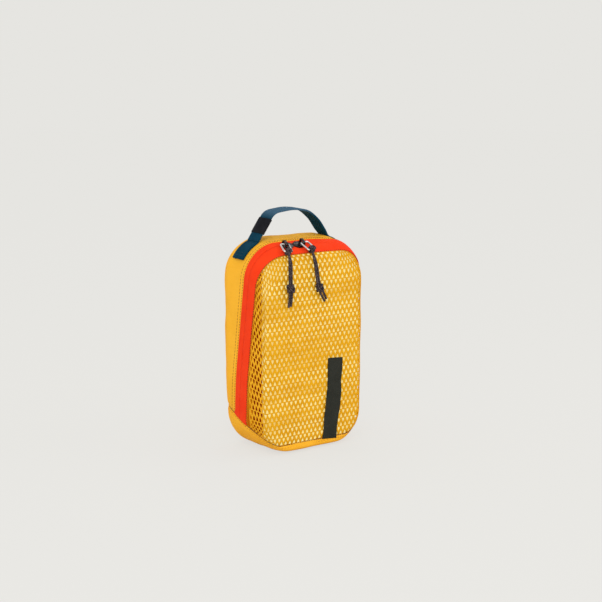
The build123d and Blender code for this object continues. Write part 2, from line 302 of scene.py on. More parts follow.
def so_far(points):
    """Distance along a line, or along each of many lines, from its start to each point."""
    gaps = np.linalg.norm(np.diff(points, axis=-2), axis=-1)
    return np.cumsum(np.insert(gaps, 0, 0, axis=-1), axis=-1)


def sheet_grid(columns, rows, width, low, high):
    """A flat grid that goes the width to each side, and from low to high."""
    bm = flat_grid(columns, rows)
    for v in bm.verts:
        v.co = (v.co.x * width, low + (v.co.y + 1) / 2 * (high - low), 0)
    return bm


def read_off(values, length, at):
    """Values that lie at the given lengths of a line, read off at other lengths."""
    return np.stack([np.interp(at, length, column) for column in values.T], -1)


print("two steps of a line", so_far(np.array([(0, 0), (3, 4), (3, 5)])).tolist())

# %% [markdown]
# With these, a strip is wrapped round the form: each vertex of the grid gets a place u round the
# outline and a place t in depth, about evenly spaced in real millimetres.

# %% Strips round the form
def around(u, t, relief=None, lift=0.0):
    """Points of a strip at (u, t), moved out along the normal by the relief and the lift, and
    the normals there."""
    p = outline(u, t)
    near = 0.01
    t_low, t_high = np.clip(t - near, BACK, None), t + near
    along = outline(u + near, t) - outline(u - near, t)
    across = outline(u, t_high) - outline(u, t_low)
    normal = np.cross(along, across)
    normal /= np.linalg.norm(normal, axis=-1, keepdims=True)
    flat, normal = p.reshape(-1, 3), normal.reshape(-1, 3)
    out = (relief(flat) if relief else np.zeros(len(flat))) + lift
    return flat + normal * out[:, None], normal


def even_steps(knots, places, step):
    """A line's knots chosen anew, so that they lie about step apart, and the line's length."""
    length = so_far(places)
    count = max(2, int(length[-1] / step))
    return np.interp(np.linspace(0, length[-1], count + 1), length, knots), length[-1]


def round_columns(step):
    """Values of u about step apart round the outline."""
    u = np.linspace(0, 8, 1601)
    return even_steps(u, outline(u, FULL), step)


def depth_rows(t_from, t_to, step):
    """Values of t about step apart in depth, over the top of the form."""
    t = np.linspace(t_from, t_to, 400)
    return even_steps(t, outline(4.5, t), step)


def strip_mesh(t_from, t_to, relief, lift=0.0, step=STEP):
    """A bmesh of a strip of cloth all round the form, with its flat measure as UVs."""
    columns, girth = round_columns(step)
    rows, depth = depth_rows(t_from, t_to, step)
    bm = flat_grid(len(columns) - 1, len(rows) - 1)
    keep_measure(bm, lambda p: ((p.x + 1) / 2 * girth, (p.y + 1) / 2 * depth))
    across, up = (flat_places(bm) + 1) / 2
    u = np.interp(across, np.linspace(0, 1, len(columns)), columns)
    t = np.interp(up, np.linspace(0, 1, len(rows)), rows)
    move_to(bm, around(u, t, relief, lift)[0])
    bmesh.ops.remove_doubles(bm, verts=bm.verts, dist=MERGE)
    return bm


def cut(bm, place, keep_side):
    """Cut a bmesh with a plane and keep the side that keep_side points to."""
    geometry = bm.verts[:] + bm.edges[:] + bm.faces[:]
    bmesh.ops.bisect_plane(
        bm, geom=geometry, dist=1e-7, plane_co=place, plane_no=keep_side, clear_inner=True)


print("once round the form", round(round_columns(STEP)[1] / MM), "mm")

# %% [markdown]
# A closed shape can have its normals recalculated. An open sheet has no inside, so it is turned
# to face away from the middle of the form, and a Solidify modifier then gives it its thickness
# on the inner side, where it doesn't change what shows.

# %% From bmesh to object
def as_object(bm, name, finish, smooth=True):
    """Turn a bmesh into an object with its finish."""
    mesh = bpy.data.meshes.new(name)
    bm.to_mesh(mesh)
    bm.free()
    mesh.materials.append(finish)
    for face in mesh.polygons:
        face.use_smooth = smooth
    piece = bpy.data.objects.new(name, mesh)
    bpy.context.scene.collection.objects.link(piece)
    return piece


def made(bm, name, finish, smooth=True):
    """A closed shape whose faces point out."""
    bmesh.ops.recalc_face_normals(bm, faces=bm.faces)
    return as_object(bm, name, finish, smooth)


def add_wall(piece, thickness, offset):
    """Give a sheet its thickness; offset is -1 for inwards and 0 for both ways."""
    solid = piece.modifiers.new("wall", "SOLIDIFY")
    solid.thickness, solid.offset = thickness, offset


def face_outwards(bm):
    """Make an open sheet's faces point away from the middle of the form."""
    middle = Vector((0, 0, height / 2))
    total = sum((f.calc_center_median() - middle).dot(f.normal) * f.calc_area() for f in bm.faces)
    if total < 0:
        bmesh.ops.reverse_faces(bm, faces=bm.faces)


def cloth(bm, name, finish, wall):
    """An open sheet of cloth, facing out, thickened inwards."""
    bmesh.ops.recalc_face_normals(bm, faces=bm.faces)
    face_outwards(bm)
    piece = as_object(bm, name, finish)
    add_wall(piece, wall, -1)
    return piece


# %% [markdown]
# ## Finishes
# A small class stands for a number or colour that runs through a material's nodes. Its
# operators add the Math nodes, so that a weave can be written as a formula. Patterns follow
# the cloth's own UV map, which is in metres, or the piece's object coordinates.

# %% Values in a node tree
class Value:
    """A socket in a node tree. Sums and products add Math nodes, from either side, so that
    1 - value works as value - 1 does."""

    def __init__(self, nodes, socket):
        self.nodes, self.socket = nodes, socket

    def math(self, operation, *others):
        return self.nodes.node("ShaderNodeMath", {"operation": operation}, self, *others)

    def __add__(self, other):
        return self.math("ADD", other)

    def __sub__(self, other):
        return self.math("SUBTRACT", other)

    def __rsub__(self, other):
        return self.nodes.node("ShaderNodeMath", {"operation": "SUBTRACT"}, other, self)

    def __mul__(self, other):
        return self.math("MULTIPLY", other)

    __radd__, __rmul__ = __add__, __mul__

    def sine(self):
        return self.math("SINE")

    def waves(self, length):
        """A wave between 0 and 1 that repeats with the given length."""
        return (self * (2 * math.pi / length)).sine() * 0.5 + 0.5

    def size(self):
        return self.math("ABSOLUTE")

    def above(self, limit):
        return self.math("GREATER_THAN", limit)

    def higher(self, other):
        return self.math("MAXIMUM", other)

    def ramp(self, low, high, to_low=0.0, to_high=1.0):
        """Rises smoothly from to_low at low to to_high at high."""
        return self.nodes.node(
            "ShaderNodeMapRange", {"interpolation_type": "SMOOTHSTEP"},
            self, low, high, to_low, to_high)


print("values:", ", ".join(name for name in vars(Value) if not name.startswith("_")))

# %% [markdown]
# One method adds any other node. It takes the node's settings first, because they decide which
# sockets the node has, and then what goes into those sockets.

# %% A node tree
class Nodes:
    """A node tree that node() builds up."""

    def __init__(self, tree):
        self.tree = tree

    def node(self, kind, settings, *inputs, output=None, **named):
        """Add a node: its settings first, then the values or links of its sockets, in order or
        by name. The value of the node is its first output, or the one that is named."""
        node = self.tree.nodes.new(kind)
        for key, value in settings.items():
            setattr(node, key, value)
        for socket, value in zip([s for s in node.inputs if s.enabled], inputs):
            self.feed(socket, value)
        for name, value in named.items():
            self.feed(node.inputs[name], value)
        return Value(self, next(
            s for s in node.outputs if s.enabled and output in (None, s.name)))

    def feed(self, socket, value):
        """Link a value to a socket, or set the socket to a number or a colour."""
        if isinstance(value, Value):
            self.tree.links.new(value.socket, socket)
        elif socket.type == "RGBA":
            socket.default_value = (*value, 1)
        else:
            socket.default_value = value

    def parts(self, vector):
        """The three numbers of a vector."""
        node = self.node("ShaderNodeSeparateXYZ", {}, vector).socket.node
        return [Value(self, s) for s in node.outputs]

    def seen_directly(self):
        """1 for what the camera sees by itself, in a mirror or through glass; else 0."""
        node = self.node("ShaderNodeLightPath", {}).socket.node
        rays = [Value(self, node.outputs[name]) for name in (
            "Is Camera Ray", "Is Glossy Ray", "Is Transmission Ray")]
        return rays[0].higher(rays[1]).higher(rays[2])


print("node trees:", ", ".join(name for name in vars(Nodes) if not name.startswith("_")))

# %% [markdown]
# A finish is one material with one Principled shader. What changes over the surface feeds its
# base colour, its roughness or a bump, so that it can also be baked into pictures later.

# %% Finishes
class Finish(Nodes):
    """A material with one Principled shader."""

    def __init__(self, name, roughness=0.6, **fixed):
        self.material = bpy.data.materials.new(name)
        self.material.use_nodes = True
        super().__init__(self.material.node_tree)
        self.shader = self.tree.nodes["Principled BSDF"]
        self.rough(roughness)
        for socket, value in fixed.items():
            self.feed(self.shader.inputs[socket.replace("_", " ")], value)

    def place(self):
        """Object coordinates as a vector, in metres."""
        return self.node("ShaderNodeTexCoord", {}, output="Object")

    def weave_place(self):
        """The cloth's own flat measure, in metres."""
        return self.node("ShaderNodeUVMap", {"uv_map": "cloth"})

    def noise(self, vector, scale, detail=3.0, rough=0.55):
        return self.node("ShaderNodeTexNoise", {}, vector, scale, detail, rough)

    def colour(self, share, first, second):
        """A colour between two, by the share."""
        return self.node("ShaderNodeMix", {"data_type": "RGBA"}, share, first, second)

    def base(self, value):
        self.feed(self.shader.inputs["Base Color"], value)

    def rough(self, value):
        self.feed(self.shader.inputs["Roughness"], value)

    def bump(self, value, distance, strength=1.0):
        """Raise the surface by the value times the distance, in metres."""
        self.feed(self.shader.inputs["Normal"], self.node(
            "ShaderNodeBump", {}, Strength=strength, Distance=distance, Height=value))

    def past_left_edge(self, blur):
        """0 on the bag's left side and 1 on its front, changing along the rounded edge."""
        x, y, _ = self.parts(self.place())
        return ((x + half_width - 5 * MM) * 0.75 - (y - front_y - 8 * MM) * 0.66).ramp(
            -blur, blur)


print("finishes:", ", ".join(name for name in vars(Finish) if not name.startswith("_")))

# %% [markdown]
# Plain woven nylon is warp and weft threads that go over and under one another. The sine of
# the flat measure gives each set its rounded threads, and its sign says which set is on top.
# Uneven dye and a few thicker threads keep it from looking printed.

# %% The woven finishes
def plain_weave(x, y, pitch):
    """Height of a plain weave at the place (x, y) on the cloth."""
    one, other = ((v * (math.pi / pitch)).sine() for v in (x, y))
    side = (one * other).above(0.0)
    return one.size() * side + other.size() * (1 - side)


def woven_finish(name, colour, shade, pitch=0.5 * MM):
    """Plain woven nylon: a fine weave, uneven dye and a slight sheen."""
    f = Finish(name, 0.8, Specular_IOR_Level=0.1)
    x, y, _ = f.parts(f.weave_place())
    weave = plain_weave(x, y, pitch)
    cloudy = f.noise(f.place(), 38.0, 4.0)
    slub = f.noise(f.node("ShaderNodeCombineXYZ", {}, x * 900, y * 60, 0.0), 1.0, 2.0)
    share = cloudy.ramp(0.3, 0.75) * 0.5 + (1 - weave) * 0.18 + slub.ramp(0.45, 0.7) * 0.15
    f.base(f.colour(share, colour, shade))
    f.rough(weave * -0.08 + 0.76)
    f.bump(weave * 0.6 + slub * 0.3 + cloudy * 0.8, 0.12 * MM, 0.6)
    return f.material


yellow_cloth = woven_finish("yellow_cloth", (0.92, 0.46, 0.028), (0.78, 0.355, 0.012))
yellow_tape = woven_finish("yellow_tape", (0.78, 0.36, 0.03), (0.60, 0.24, 0.012), 0.9 * MM)
print("woven:", yellow_cloth.name, "and", yellow_tape.name)

# %% [markdown]
# The other cloths differ in how their threads run. Knitted yarn shows small loops, zip tape has
# ribs across its run, and webbing has a herringbone, which is a slanting rib folded back and
# forth by the arcsine of a sine. The same webbing pattern, finer, serves for woven labels.

# %% The knitted, tape and webbing finishes
def mesh_finish():
    """Knitted yarn of the mesh: matt, with the loops of the knit along it, and painted brighter
    down the left side than on the front, for the light that falls more on that side."""
    f = Finish("yellow_mesh", 0.8, Specular_IOR_Level=0.05)
    x, y, _ = f.parts(f.weave_place())
    loops = ((x * 7200).sine() * (y * 5200).sine()) * 0.5 + 0.5
    cloudy = f.noise(f.place(), 60.0, 3.0)
    share = (1 - loops) * 0.45 + cloudy.ramp(0.35, 0.7) * 0.4
    # The yarn down the left side is painted lighter: painted light for that side.
    yarn = f.colour(f.past_left_edge(1.5 * MM), (0.95, 0.47, 0.022), (0.79, 0.400, 0.010))
    f.base(f.colour(share, yarn, (0.65, 0.28, 0.003)))
    f.bump(loops, 0.25 * MM, 0.7)
    return f.material


def zip_tape_finish():
    """Zip tape: fine ribs across its run, in strong orange."""
    f = Finish("orange_tape", 0.75, Specular_IOR_Level=0.08)
    x, y, _ = f.parts(f.weave_place())
    ribs, lines = x.waves(0.9 * MM), y.waves(1.3 * MM)
    cloudy = f.noise(f.place(), 70.0, 3.0)
    share = (1 - ribs) * 0.3 + cloudy.ramp(0.35, 0.7) * 0.4 + lines * 0.1
    f.base(f.colour(share, (0.88, 0.052, 0.008), (0.78, 0.030, 0.004)))
    f.bump(ribs * 0.7 + lines * 0.5, 0.12 * MM, 0.8)
    return f.material


def webbing_finish(name, colour, shade, rib=1.6 * MM, painted_top_light=None):
    """Herringbone webbing: slanting ribs that turn back at each rib's edge. The lighter colour,
    where there is one, is painted light on the top of the arch, which faces the sky."""
    f = Finish(name, 0.8, Specular_IOR_Level=0.04)
    x, y, _ = f.parts(f.weave_place())
    zigzag = (y * (math.pi / rib)).sine().math("ARCSINE") * (rib / math.pi)
    ribs = (x + zigzag).waves(0.8 * MM)
    cloudy = f.noise(f.place(), 90.0, 4.0)
    dye_and_top_light = f.colour(ribs * 0.6 + cloudy.ramp(0.3, 0.75) * 0.4, shade, colour)
    if painted_top_light:
        # The top of the arch is painted lighter, for the light it catches from above: painted
        # light.
        _, _, z = f.parts(f.place())
        worn_and_top_lit = z.ramp(height + 17.5 * MM, height + 25.0 * MM)
        dye_and_top_light = f.colour(worn_and_top_lit * (ribs * 0.3 + 0.7), dye_and_top_light, painted_top_light)
    f.base(dye_and_top_light)
    f.bump(ribs + cloudy * 0.4, 0.18 * MM, 0.8)
    return f.material


orange_tape = zip_tape_finish()
yellow_mesh = mesh_finish()
# Its last colour is the painted light on the top of the arch.
navy_webbing = webbing_finish(
    "navy_webbing", (0.005, 0.058, 0.100), (0.002, 0.024, 0.046), painted_top_light=(0.055, 0.122, 0.19))
black_wrap = webbing_finish("black_wrap", (0.020, 0.022, 0.027), (0.006, 0.006, 0.008), 0.6 * MM)
charcoal_label = webbing_finish(
    "charcoal_label", (0.036, 0.037, 0.030), (0.022, 0.023, 0.018), 0.5 * MM)
print("cloths:", [m.name for m in (
    orange_tape, yellow_mesh, navy_webbing, black_wrap, charcoal_label)])

# %% [markdown]
# Thread, the zip's nylon coil, plated metal and braided cord are too thin or too small for a
# weave to be seen, so their finishes are mostly a fine change of colour. The cord's yarns wind
# both ways round it, with light flecks where a pale yarn comes to the top.

# %% Thread, coil, metal and cord
def thread_finish(name, colour):
    """Sewing thread: slightly shiny, and darker between its twisted yarns."""
    f = Finish(name, 0.55, Specular_IOR_Level=0.4)
    twist = f.noise(f.place(), 1500.0, 1.0)
    f.base(f.colour(twist.ramp(0.4, 0.6), colour, tuple(c * 0.6 for c in colour)))
    return f.material


yellow_thread = thread_finish("yellow_thread", (0.60, 0.24, 0.012))
brown_thread = thread_finish("brown_thread", (0.20, 0.030, 0.004))
navy_thread = thread_finish("navy_thread", (0.012, 0.055, 0.085))
tan_thread = thread_finish("tan_thread", (0.36, 0.13, 0.008))


def coil_finish():
    """Dyed nylon wire: smooth, with a soft highlight."""
    f = Finish("orange_coil", 0.38, Specular_IOR_Level=0.5)
    f.base(f.colour(f.noise(f.place(), 300.0), (0.86, 0.055, 0.010), (0.70, 0.030, 0.006)))
    return f.material


def metal_finish(name, colour, worn_and_top_lit, roughness, scale):
    """Plated metal that is brighter and smoother where it rubs."""
    f = Finish(name, roughness, Metallic=1.0)
    wear = f.noise(f.place(), scale, 4.0).ramp(0.42, 0.62)
    f.base(f.colour(wear, colour, worn_and_top_lit))
    f.rough(wear * -0.12 + roughness)
    f.bump(f.noise(f.place(), scale * 3, 2.0), 0.05 * MM, 0.3)
    return f.material


def cord_finish():
    """Braided cord: dark yarns with light flecks that wind both ways."""
    f = Finish("cord", 0.75, Specular_IOR_Level=0.2)
    x, _, z = f.parts(f.place())
    braid = (z + x).waves(1.2 * MM).higher((z - x).waves(1.2 * MM))
    fleck = f.node("ShaderNodeTexVoronoi", {}, f.place(), 2100.0).ramp(0.1, 0.35)
    tone = f.noise(f.place(), 1500.0, 1.0).ramp(0.5, 0.64)
    dark = f.colour(fleck, (0.060, 0.040, 0.042), (0.018, 0.014, 0.018))
    f.base(f.colour(tone * braid, dark, (0.21, 0.15, 0.155)))
    f.bump(braid, 0.3 * MM, 0.8)
    return f.material


orange_coil = coil_finish()
gunmetal = metal_finish("gunmetal", (0.035, 0.032, 0.034), (0.17, 0.16, 0.16), 0.30, 350.0)
bright_wire = metal_finish("bright_wire", (0.60, 0.58, 0.57), (0.85, 0.83, 0.81), 0.24, 250.0)
flecked_cord = cord_finish()
print("materials so far:", len(bpy.data.materials))

# %% [markdown]
# ## The woven body
# The side and top of the body is one long gusset, from the back seam to the zip. The base is a
# second panel, sewn to it and to the lid along the base seam. Both are strips of the form.

# %% Gusset and base
CLOTH_WALL = 0.6 * MM
FOLD_UNDER = 0.5 * MM
zip_edge = zip_place + zip_back * BODY_TAPE_WIDTH

gusset = strip_mesh(BACK_SEAM, FRONT - 0.4, body_relief)
cut(gusset, seam_foot, base_up)
cut(gusset, zip_edge - zip_back * FOLD_UNDER, zip_back)
gusset = cloth(gusset, "gusset_cloth", yellow_cloth, CLOTH_WALL)
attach(gusset, "root")
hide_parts("upper_gusset")

base = strip_mesh(BACK_SEAM, FRONT + 0.45, body_relief)
cut(base, seam_foot, -base_up)
base = cloth(base, "base_cloth", yellow_cloth, CLOTH_WALL)
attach(base, "root")
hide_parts("base_gusset")
print("gusset and base", [len(o.data.polygons) for o in (gusset, base)], "faces")

# %% [markdown]
# The back and the lid's front are nearly flat. Each starts as a flat grid a little larger than
# the face. What hangs over the face's outline is folded down onto the form, by the length that
# hangs over, as a sheet of cloth would be.

# %% From a flat sheet to the face's edge
TINY = 1e-9


def to_edge(p, q, t_face):
    """For points (p, q) of a flat sheet: u of the nearest point of the face's outline, the
    length by which each hangs over it, and the way out, as x and z."""
    _, left, right, low, high, r_low, r_high = extents(np.array(t_face))
    upper = q > (high + low) / 2
    top_left, top_right = r_high + LEFT_TOP_EXTRA, r_high + RIGHT_TOP_EXTRA
    r_high = np.where(p < (left + right) / 2, top_left, top_right)
    core_x = np.clip(p, left + np.where(upper, top_left, r_low),
                     right - np.where(upper, top_right, r_low))
    core_z = np.clip(q, low + r_low, high - r_high)
    dx, dz = p - core_x, q - core_z
    reach = np.hypot(dx, dz)

    angle = np.degrees(np.arctan2(dz, dx))
    upright, level = np.abs(dx) < TINY, np.abs(dz) < TINY
    wall = high - r_high - low - r_low
    u = np.select(
        [
            upright & (dz > 0), upright & (dz < 0), level & (dx > 0), level & (dx < 0),
            (dx > 0) & (dz < 0), (dx > 0) & (dz > 0), (dx < 0) & (dz > 0),
        ],
        [
            5 - (core_x - left - top_left) / (right - left - top_left - top_right),
            (core_x - left - r_low) / (right - left - 2 * r_low),
            2 + (core_z - low - r_low) / wall, 7 - (core_z - low - r_low) / wall,
            1 + (angle + 90) / 90, 3 + angle / 90, 5 + (angle - 90) / 90,
        ],
        7 + (angle + 180) / 90)
    over = reach - np.where(upper, r_high, r_low)
    reach = np.maximum(reach, TINY)
    return u, over, dx / reach, dz / reach


print("over the front's edge", (to_edge(
    np.array([0.0, half_width]), np.array([0.0, 0.0]), FRONT)[1] / MM).round(1).tolist(), "mm")

# %% [markdown]
# The part that hangs over follows the form down by its own length. The rest lies on the face,
# which bulges a little and rolls off towards its edge.

# %% Sheets folded over the form
FINE_STEPS = 60
DOWN_TO_FRONT, DOWN_TO_BACK = 2.6, 1.6  # the depths t that the overhang can reach
FACE_CROWN, FACE_ROLL, FACE_LEAN = 0.6 * MM, 5 * MM, 0.9


def sheet_places(p, q, at_front, relief, lift=0.0):
    """Places on the form of the points (p, q) of a flat sheet laid over its front or back."""
    t_face, sense = (FRONT, -1) if at_front else (BACK, 1)
    u, over, out_x, out_z = to_edge(p, q, t_face)

    steps = np.linspace(t_face, DOWN_TO_FRONT if at_front else DOWN_TO_BACK, FINE_STEPS)
    lengths = so_far(outline(u[:, None], steps[None, :]))
    wanted = np.clip(over, 0, None)
    t = np.array([np.interp(w, length, steps) for w, length in zip(wanted, lengths)])
    folded, folded_normal = around(u, t)

    near_edge = np.exp(np.clip(over, None, 0) / FACE_ROLL)
    y = section(t_face)[0] + sense * FACE_CROWN * (1 - near_edge)
    flat = sag(np.stack([p, y, q], -1))
    flat_normal = np.stack([
        out_x * (near_edge * FACE_LEAN), np.full(len(p), float(sense)),
        out_z * (near_edge * FACE_LEAN)], -1)
    flat_normal /= np.linalg.norm(flat_normal, axis=1, keepdims=True)

    on_face = (over <= 0)[:, None]
    place = np.where(on_face, flat, folded)
    normal = np.where(on_face, flat_normal, folded_normal)
    return place + normal * (relief(place) + lift)[:, None]


def flat_sheet(width, low, high, step):
    """A flat grid with its own measure as UVs. Its x and y are the sheet's p and q."""
    bm = sheet_grid(int(2 * width / step), int((high - low) / step), width, low, high)
    keep_measure(bm, lambda place: place.xy)
    return bm


def lay(bm, at_front, relief, lift=0.0):
    """Fold a flat bmesh over the form."""
    p, q = flat_places(bm)
    move_to(bm, sheet_places(p, q, at_front, relief, lift))


middle_of_front = sheet_places(np.zeros(1), np.full(1, height / 2), True, body_relief)
print("middle of the front", (middle_of_front[0] / MM).round(1).tolist(), "mm")

# %% [markdown]
# The back panel is such a sheet. It is cut where the piping will run round the back seam.

# %% Back
OVERHANG = 6 * MM
back = flat_sheet(half_width + OVERHANG, -OVERHANG, height + OVERHANG, STEP)
lay(back, False, body_relief)
cut(back, (0, back_seam_y, 0), (0, 1, 0))
back = cloth(back, "back_cloth", yellow_cloth, CLOTH_WALL)
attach(back, "root")
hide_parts("back_panel")
print("back", len(back.data.polygons), "faces")

# %% [markdown]
# ## The mesh lid
# The lid is warp-knitted mesh. Between bands of solid knit, its yarns cross and leave a row of
# holes that point down over a row that points up. A grid of bricks is that layout: each brick
# spans two columns, and every other row starts one column later. Insetting every brick leaves
# the yarns between them, and drawing in one end of each inset gives the drop-shaped hole.

# %% The net
HOLE_PITCH = 4.8 * MM
BAND_PITCH = 7.9 * MM
YARN = 0.62 * MM
ZIGZAG = 0.75 * MM
HOLE_FOOT, HOLE_SHOULDER = 1.4 * MM, 1.15 * MM
HOLE_DROP, HOLE_BEND, HOLE_RISE = 1.6 * MM, 0.25 * MM, 2.3 * MM
EDGE_STRETCH, EDGE_BAND = 1.18, 7 * MM


def net(width, low, high):
    """A flat net of yarns with drop-shaped holes."""
    columns = 2 * int(2 * width / HOLE_PITCH)
    rows = 2 * int((high - low) / BAND_PITCH)
    width, high = columns * HOLE_PITCH / 4, low + rows * BAND_PITCH / 2
    bm = sheet_grid(columns, rows, width, low, high)
    half, row_height = HOLE_PITCH / 2, BAND_PITCH / 2

    def row_of(z):
        return int((z - low) / row_height)

    # Join the faces two by two into bricks
    spare = []
    for edge in bm.edges:
        a, b = (v.co for v in edge.verts)
        upright = abs(a.x - b.x) <= 1e-7
        if upright and len(edge.link_faces) == 2:
            if (round((a.x + width) / half) + row_of((a.y + b.y) / 2)) % 2:
                spare.append(edge)
    bmesh.ops.dissolve_edges(bm, edges=spare, use_verts=False)
    bricks = [f for f in bm.faces if len(f.verts) == 6]
    middle_of = {f: f.calc_center_median() for f in bricks}
    points_up = {f: row_of(middle_of[f].y) % 2 == 0 for f in bricks}

    # Bend every other line of yarn into a zigzag
    for v in bm.verts:
        line, column = round((v.co.y - low) / row_height), round((v.co.x + width) / half)
        if line % 2:
            v.co.y += -ZIGZAG if (column + line) % 2 else ZIGZAG

    # Inset each brick, shape what is left into a drop and take it out
    bmesh.ops.inset_individual(bm, faces=bricks, thickness=YARN, use_even_offset=True)
    for brick in bricks:
        centre, sense = middle_of[brick], 1 if points_up[brick] else -1
        stretch = EDGE_STRETCH if abs(centre.x) > half_width - EDGE_BAND else 1.0
        for v in brick.verts:
            across = v.co.x - centre.x
            at_foot = (v.co.y - centre.y) * sense < 0
            in_middle = abs(across) < 0.2 * MM
            if not in_middle:
                across = math.copysign(HOLE_FOOT if at_foot else HOLE_SHOULDER, across) * stretch
            rise = -HOLE_DROP if at_foot else HOLE_RISE if in_middle else HOLE_BEND
            v.co.x, v.co.y = centre.x + across, centre.y + rise * sense
    bmesh.ops.delete(bm, geom=bricks, context="FACES_ONLY")
    keep_measure(bm, lambda place: place.xy)
    return bm


flat_net = net(half_width + 26 * MM, 0.5 * MM, height + 12 * MM)
print("net", len(flat_net.faces), "faces")

# %% [markdown]
# The net is folded over the front like any sheet. It is drawn tight, so it lies a little inside
# the form, waves less across than up and down, and is tucked in where it is sewn to the tape.

# %% The mesh lid
MESH_WAVE, MESH_IN, TAPE_TUCK, FOOT_DIP = 0.6, 0.5, 1.15, 0.7
MESH_WAVE_SIZE = 24 * MM
MESH_WALL = 0.45 * MM


def mesh_relief(points):
    """The mesh waves inwards a little, and dips at the tape and at the base seam."""
    points = np.asarray(points)
    waves = MESH_WAVE * ripple(points * (0.5, 1, 1), MESH_WAVE_SIZE, 5) - MESH_IN
    near_tape = bell(behind_zip(points) + LID_TAPE_WIDTH, 3 * MM)
    tucked = waves * (1 - near_tape) - TAPE_TUCK * near_tape
    foot = FOOT_DIP * bell(above_base(points), 2.5 * MM)
    return (tucked - foot - shoulder_drop(points)) * MM


lid_mesh = flat_net
lay(lid_mesh, True, mesh_relief)
cut(lid_mesh, zip_place - zip_back * (LID_TAPE_WIDTH - 1.5 * MM), -zip_back)
cut(lid_mesh, seam_foot + base_up * (0.2 * MM), base_up)
lid_mesh = cloth(lid_mesh, "mesh_lid", yellow_mesh, MESH_WALL)
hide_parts("mesh_panel")
print("mesh lid", len(lid_mesh.data.polygons), "faces")

# %% [markdown]
# The lid's cloth is sewn to the base seam on both sides of its foot. Each lid piece is only
# baked in place: its transform goes into its mesh, and it is attached to no body.


def hang_on_lid(piece):
    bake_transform(piece)


hang_on_lid(lid_mesh)

# %% [markdown]
# ## The zip
# Each half of the zip is a tape with a nylon coil sewn under its inner edge. It is a reverse
# coil zip: from outside there is only smooth tape, and the coil shows when the lid is open.

# %% Tapes
TAPE_WALL = 0.7 * MM
PARTING = 0.12 * MM
TUCK = 0.8 * MM
SLIDER_STRETCH = 31 * MM
TAPE_CROWN, SLIDER_SEAT = 0.5, 0.95
ZIP_FROM = 2.0  # the depth t behind which there is no zip


def tape_relief(points):
    """The tape lies a little below the cloth at its seams and crowns gently between. On top,
    where the sliders sit, it lies lower still."""
    points = np.asarray(points)
    d = behind_zip(points)
    d = np.where(d > 0, d / BODY_TAPE_WIDTH, -d / LID_TAPE_WIDTH)
    on_top = points[:, 2] > height - 40 * MM
    under_sliders = np.exp(-((points[:, 0] / SLIDER_STRETCH) ** 6)) * on_top
    raised = TAPE_CROWN - 0.45 * np.clip(d, 0, 1.2) ** 3 - 0.25 * bell(d, 0.05)
    lowered = SLIDER_SEAT * under_sliders * (1 - 0.6 * np.clip(d, 0, 1) ** 2)
    return (raised - lowered - shoulder_drop(points)) * MM


def tape(name, side):
    """One tape of the zip; side is 1 for the body's and -1 for the lid's. The body's tape is
    tucked a little under the gusset's folded edge."""
    bm = strip_mesh(ZIP_FROM, FRONT, tape_relief, step=1.6 * MM)
    width = BODY_TAPE_WIDTH + TUCK if side > 0 else LID_TAPE_WIDTH
    cut(bm, seam_foot + base_up * (0.3 * MM), base_up)
    cut(bm, zip_place + zip_back * side * PARTING, zip_back * side)
    cut(bm, zip_place + zip_back * side * width, -zip_back * side)
    uv = bm.loops.layers.uv.active
    for face in bm.faces:
        for loop in face.loops:
            loop[uv].uv.y = float(behind_zip([loop.vert.co])[0])
    return cloth(bm, name, orange_tape, TAPE_WALL)


body_tape = tape("body_zip_tape_cloth", 1)
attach(body_tape, "root")
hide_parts("body_zip_tape", "body_zip_edge")
lid_tape = tape("lid_zip_tape_cloth", -1)
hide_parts("lid_zip_tape")
hang_on_lid(lid_tape)
print("tapes", [len(o.data.polygons) for o in (body_tape, lid_tape)], "faces")

# %% [markdown]
# A line along a seam is needed for the coils and for the stitches. It is where the form meets a
# plane, so it is found by following the outline round and, at each step, moving in depth until
# the plane is reached.

# %% Lines on the form
def even_line(places, normals, step):
    """Places and normals at even steps along a line."""
    length = so_far(places)
    at = np.arange(0, length[-1], step)
    return read_off(places, length, at), read_off(normals, length, at)


def seam_line(distance, relief, lift, step, low=0.5 * MM):
    """Places and normals along the line where the form is the given distance behind the zip,
    from low above the base seam, up one side and down the other."""
    u = np.linspace(0, 8, 1601)
    depth = np.linspace(ZIP_FROM, FRONT, 240)
    gap = behind_zip(outline(u[:, None], depth[None, :])) - distance
    t = np.array([np.interp(0, -row, depth) for row in gap])
    places, normals = around(u, t, relief, lift)
    keep = above_base(places) > low
    return even_line(places[keep], normals[keep], step)


def base_line(distance, relief, lift, step):
    """Places and normals along the base seam's line, which goes forward on the right, crosses
    at the front and comes back on the left."""
    depth = np.linspace(BACK_SEAM + 0.15, FRONT, 300)
    right = np.linspace(0.5, 2.9, 500)
    sides = []
    for u in (right, 1 - right):
        up = above_base(outline(u[:, None], depth[None, :])) - distance
        sides.append(np.array([np.interp(0, column, u) for column in up.T]))
    u = np.concatenate([sides[0], sides[1][::-1]])
    t = np.concatenate([depth, depth[::-1]])
    return even_line(*around(u, t, relief, lift), step)


LONGEST_STEP = 6 * MM


def along_line(bm, places, normals, one):
    """Repeat a small part, made by one(bm), at each place: its x runs along and its z stands
    out. Where a line jumps by more than LONGEST_STEP, it leaves one out."""
    for k in range(len(places) - 1):
        run = Vector(places[k + 1] - places[k])
        if run.length > LONGEST_STEP:
            continue
        x = run.normalized()
        z = Vector(normals[k]).normalized()
        y = z.cross(x).normalized()
        turn = Matrix((x, y, x.cross(y))).transposed().to_4x4()
        turn.translation = Vector(places[k] + places[k + 1]) / 2
        bmesh.ops.transform(bm, matrix=turn, verts=one(bm))


print("zip", round(so_far(seam_line(0, None, 0, MM)[0])[-1] / MM), "mm long")

# %% [markdown]
# The coil is nylon wire wound into teeth, sewn under the tape's edge. Only its turns show, so
# each turn is a short eight-sided bar, flattened and laid across the edge, and along_line
# repeats it. Real wound wire would need many more faces and look the same from this far.

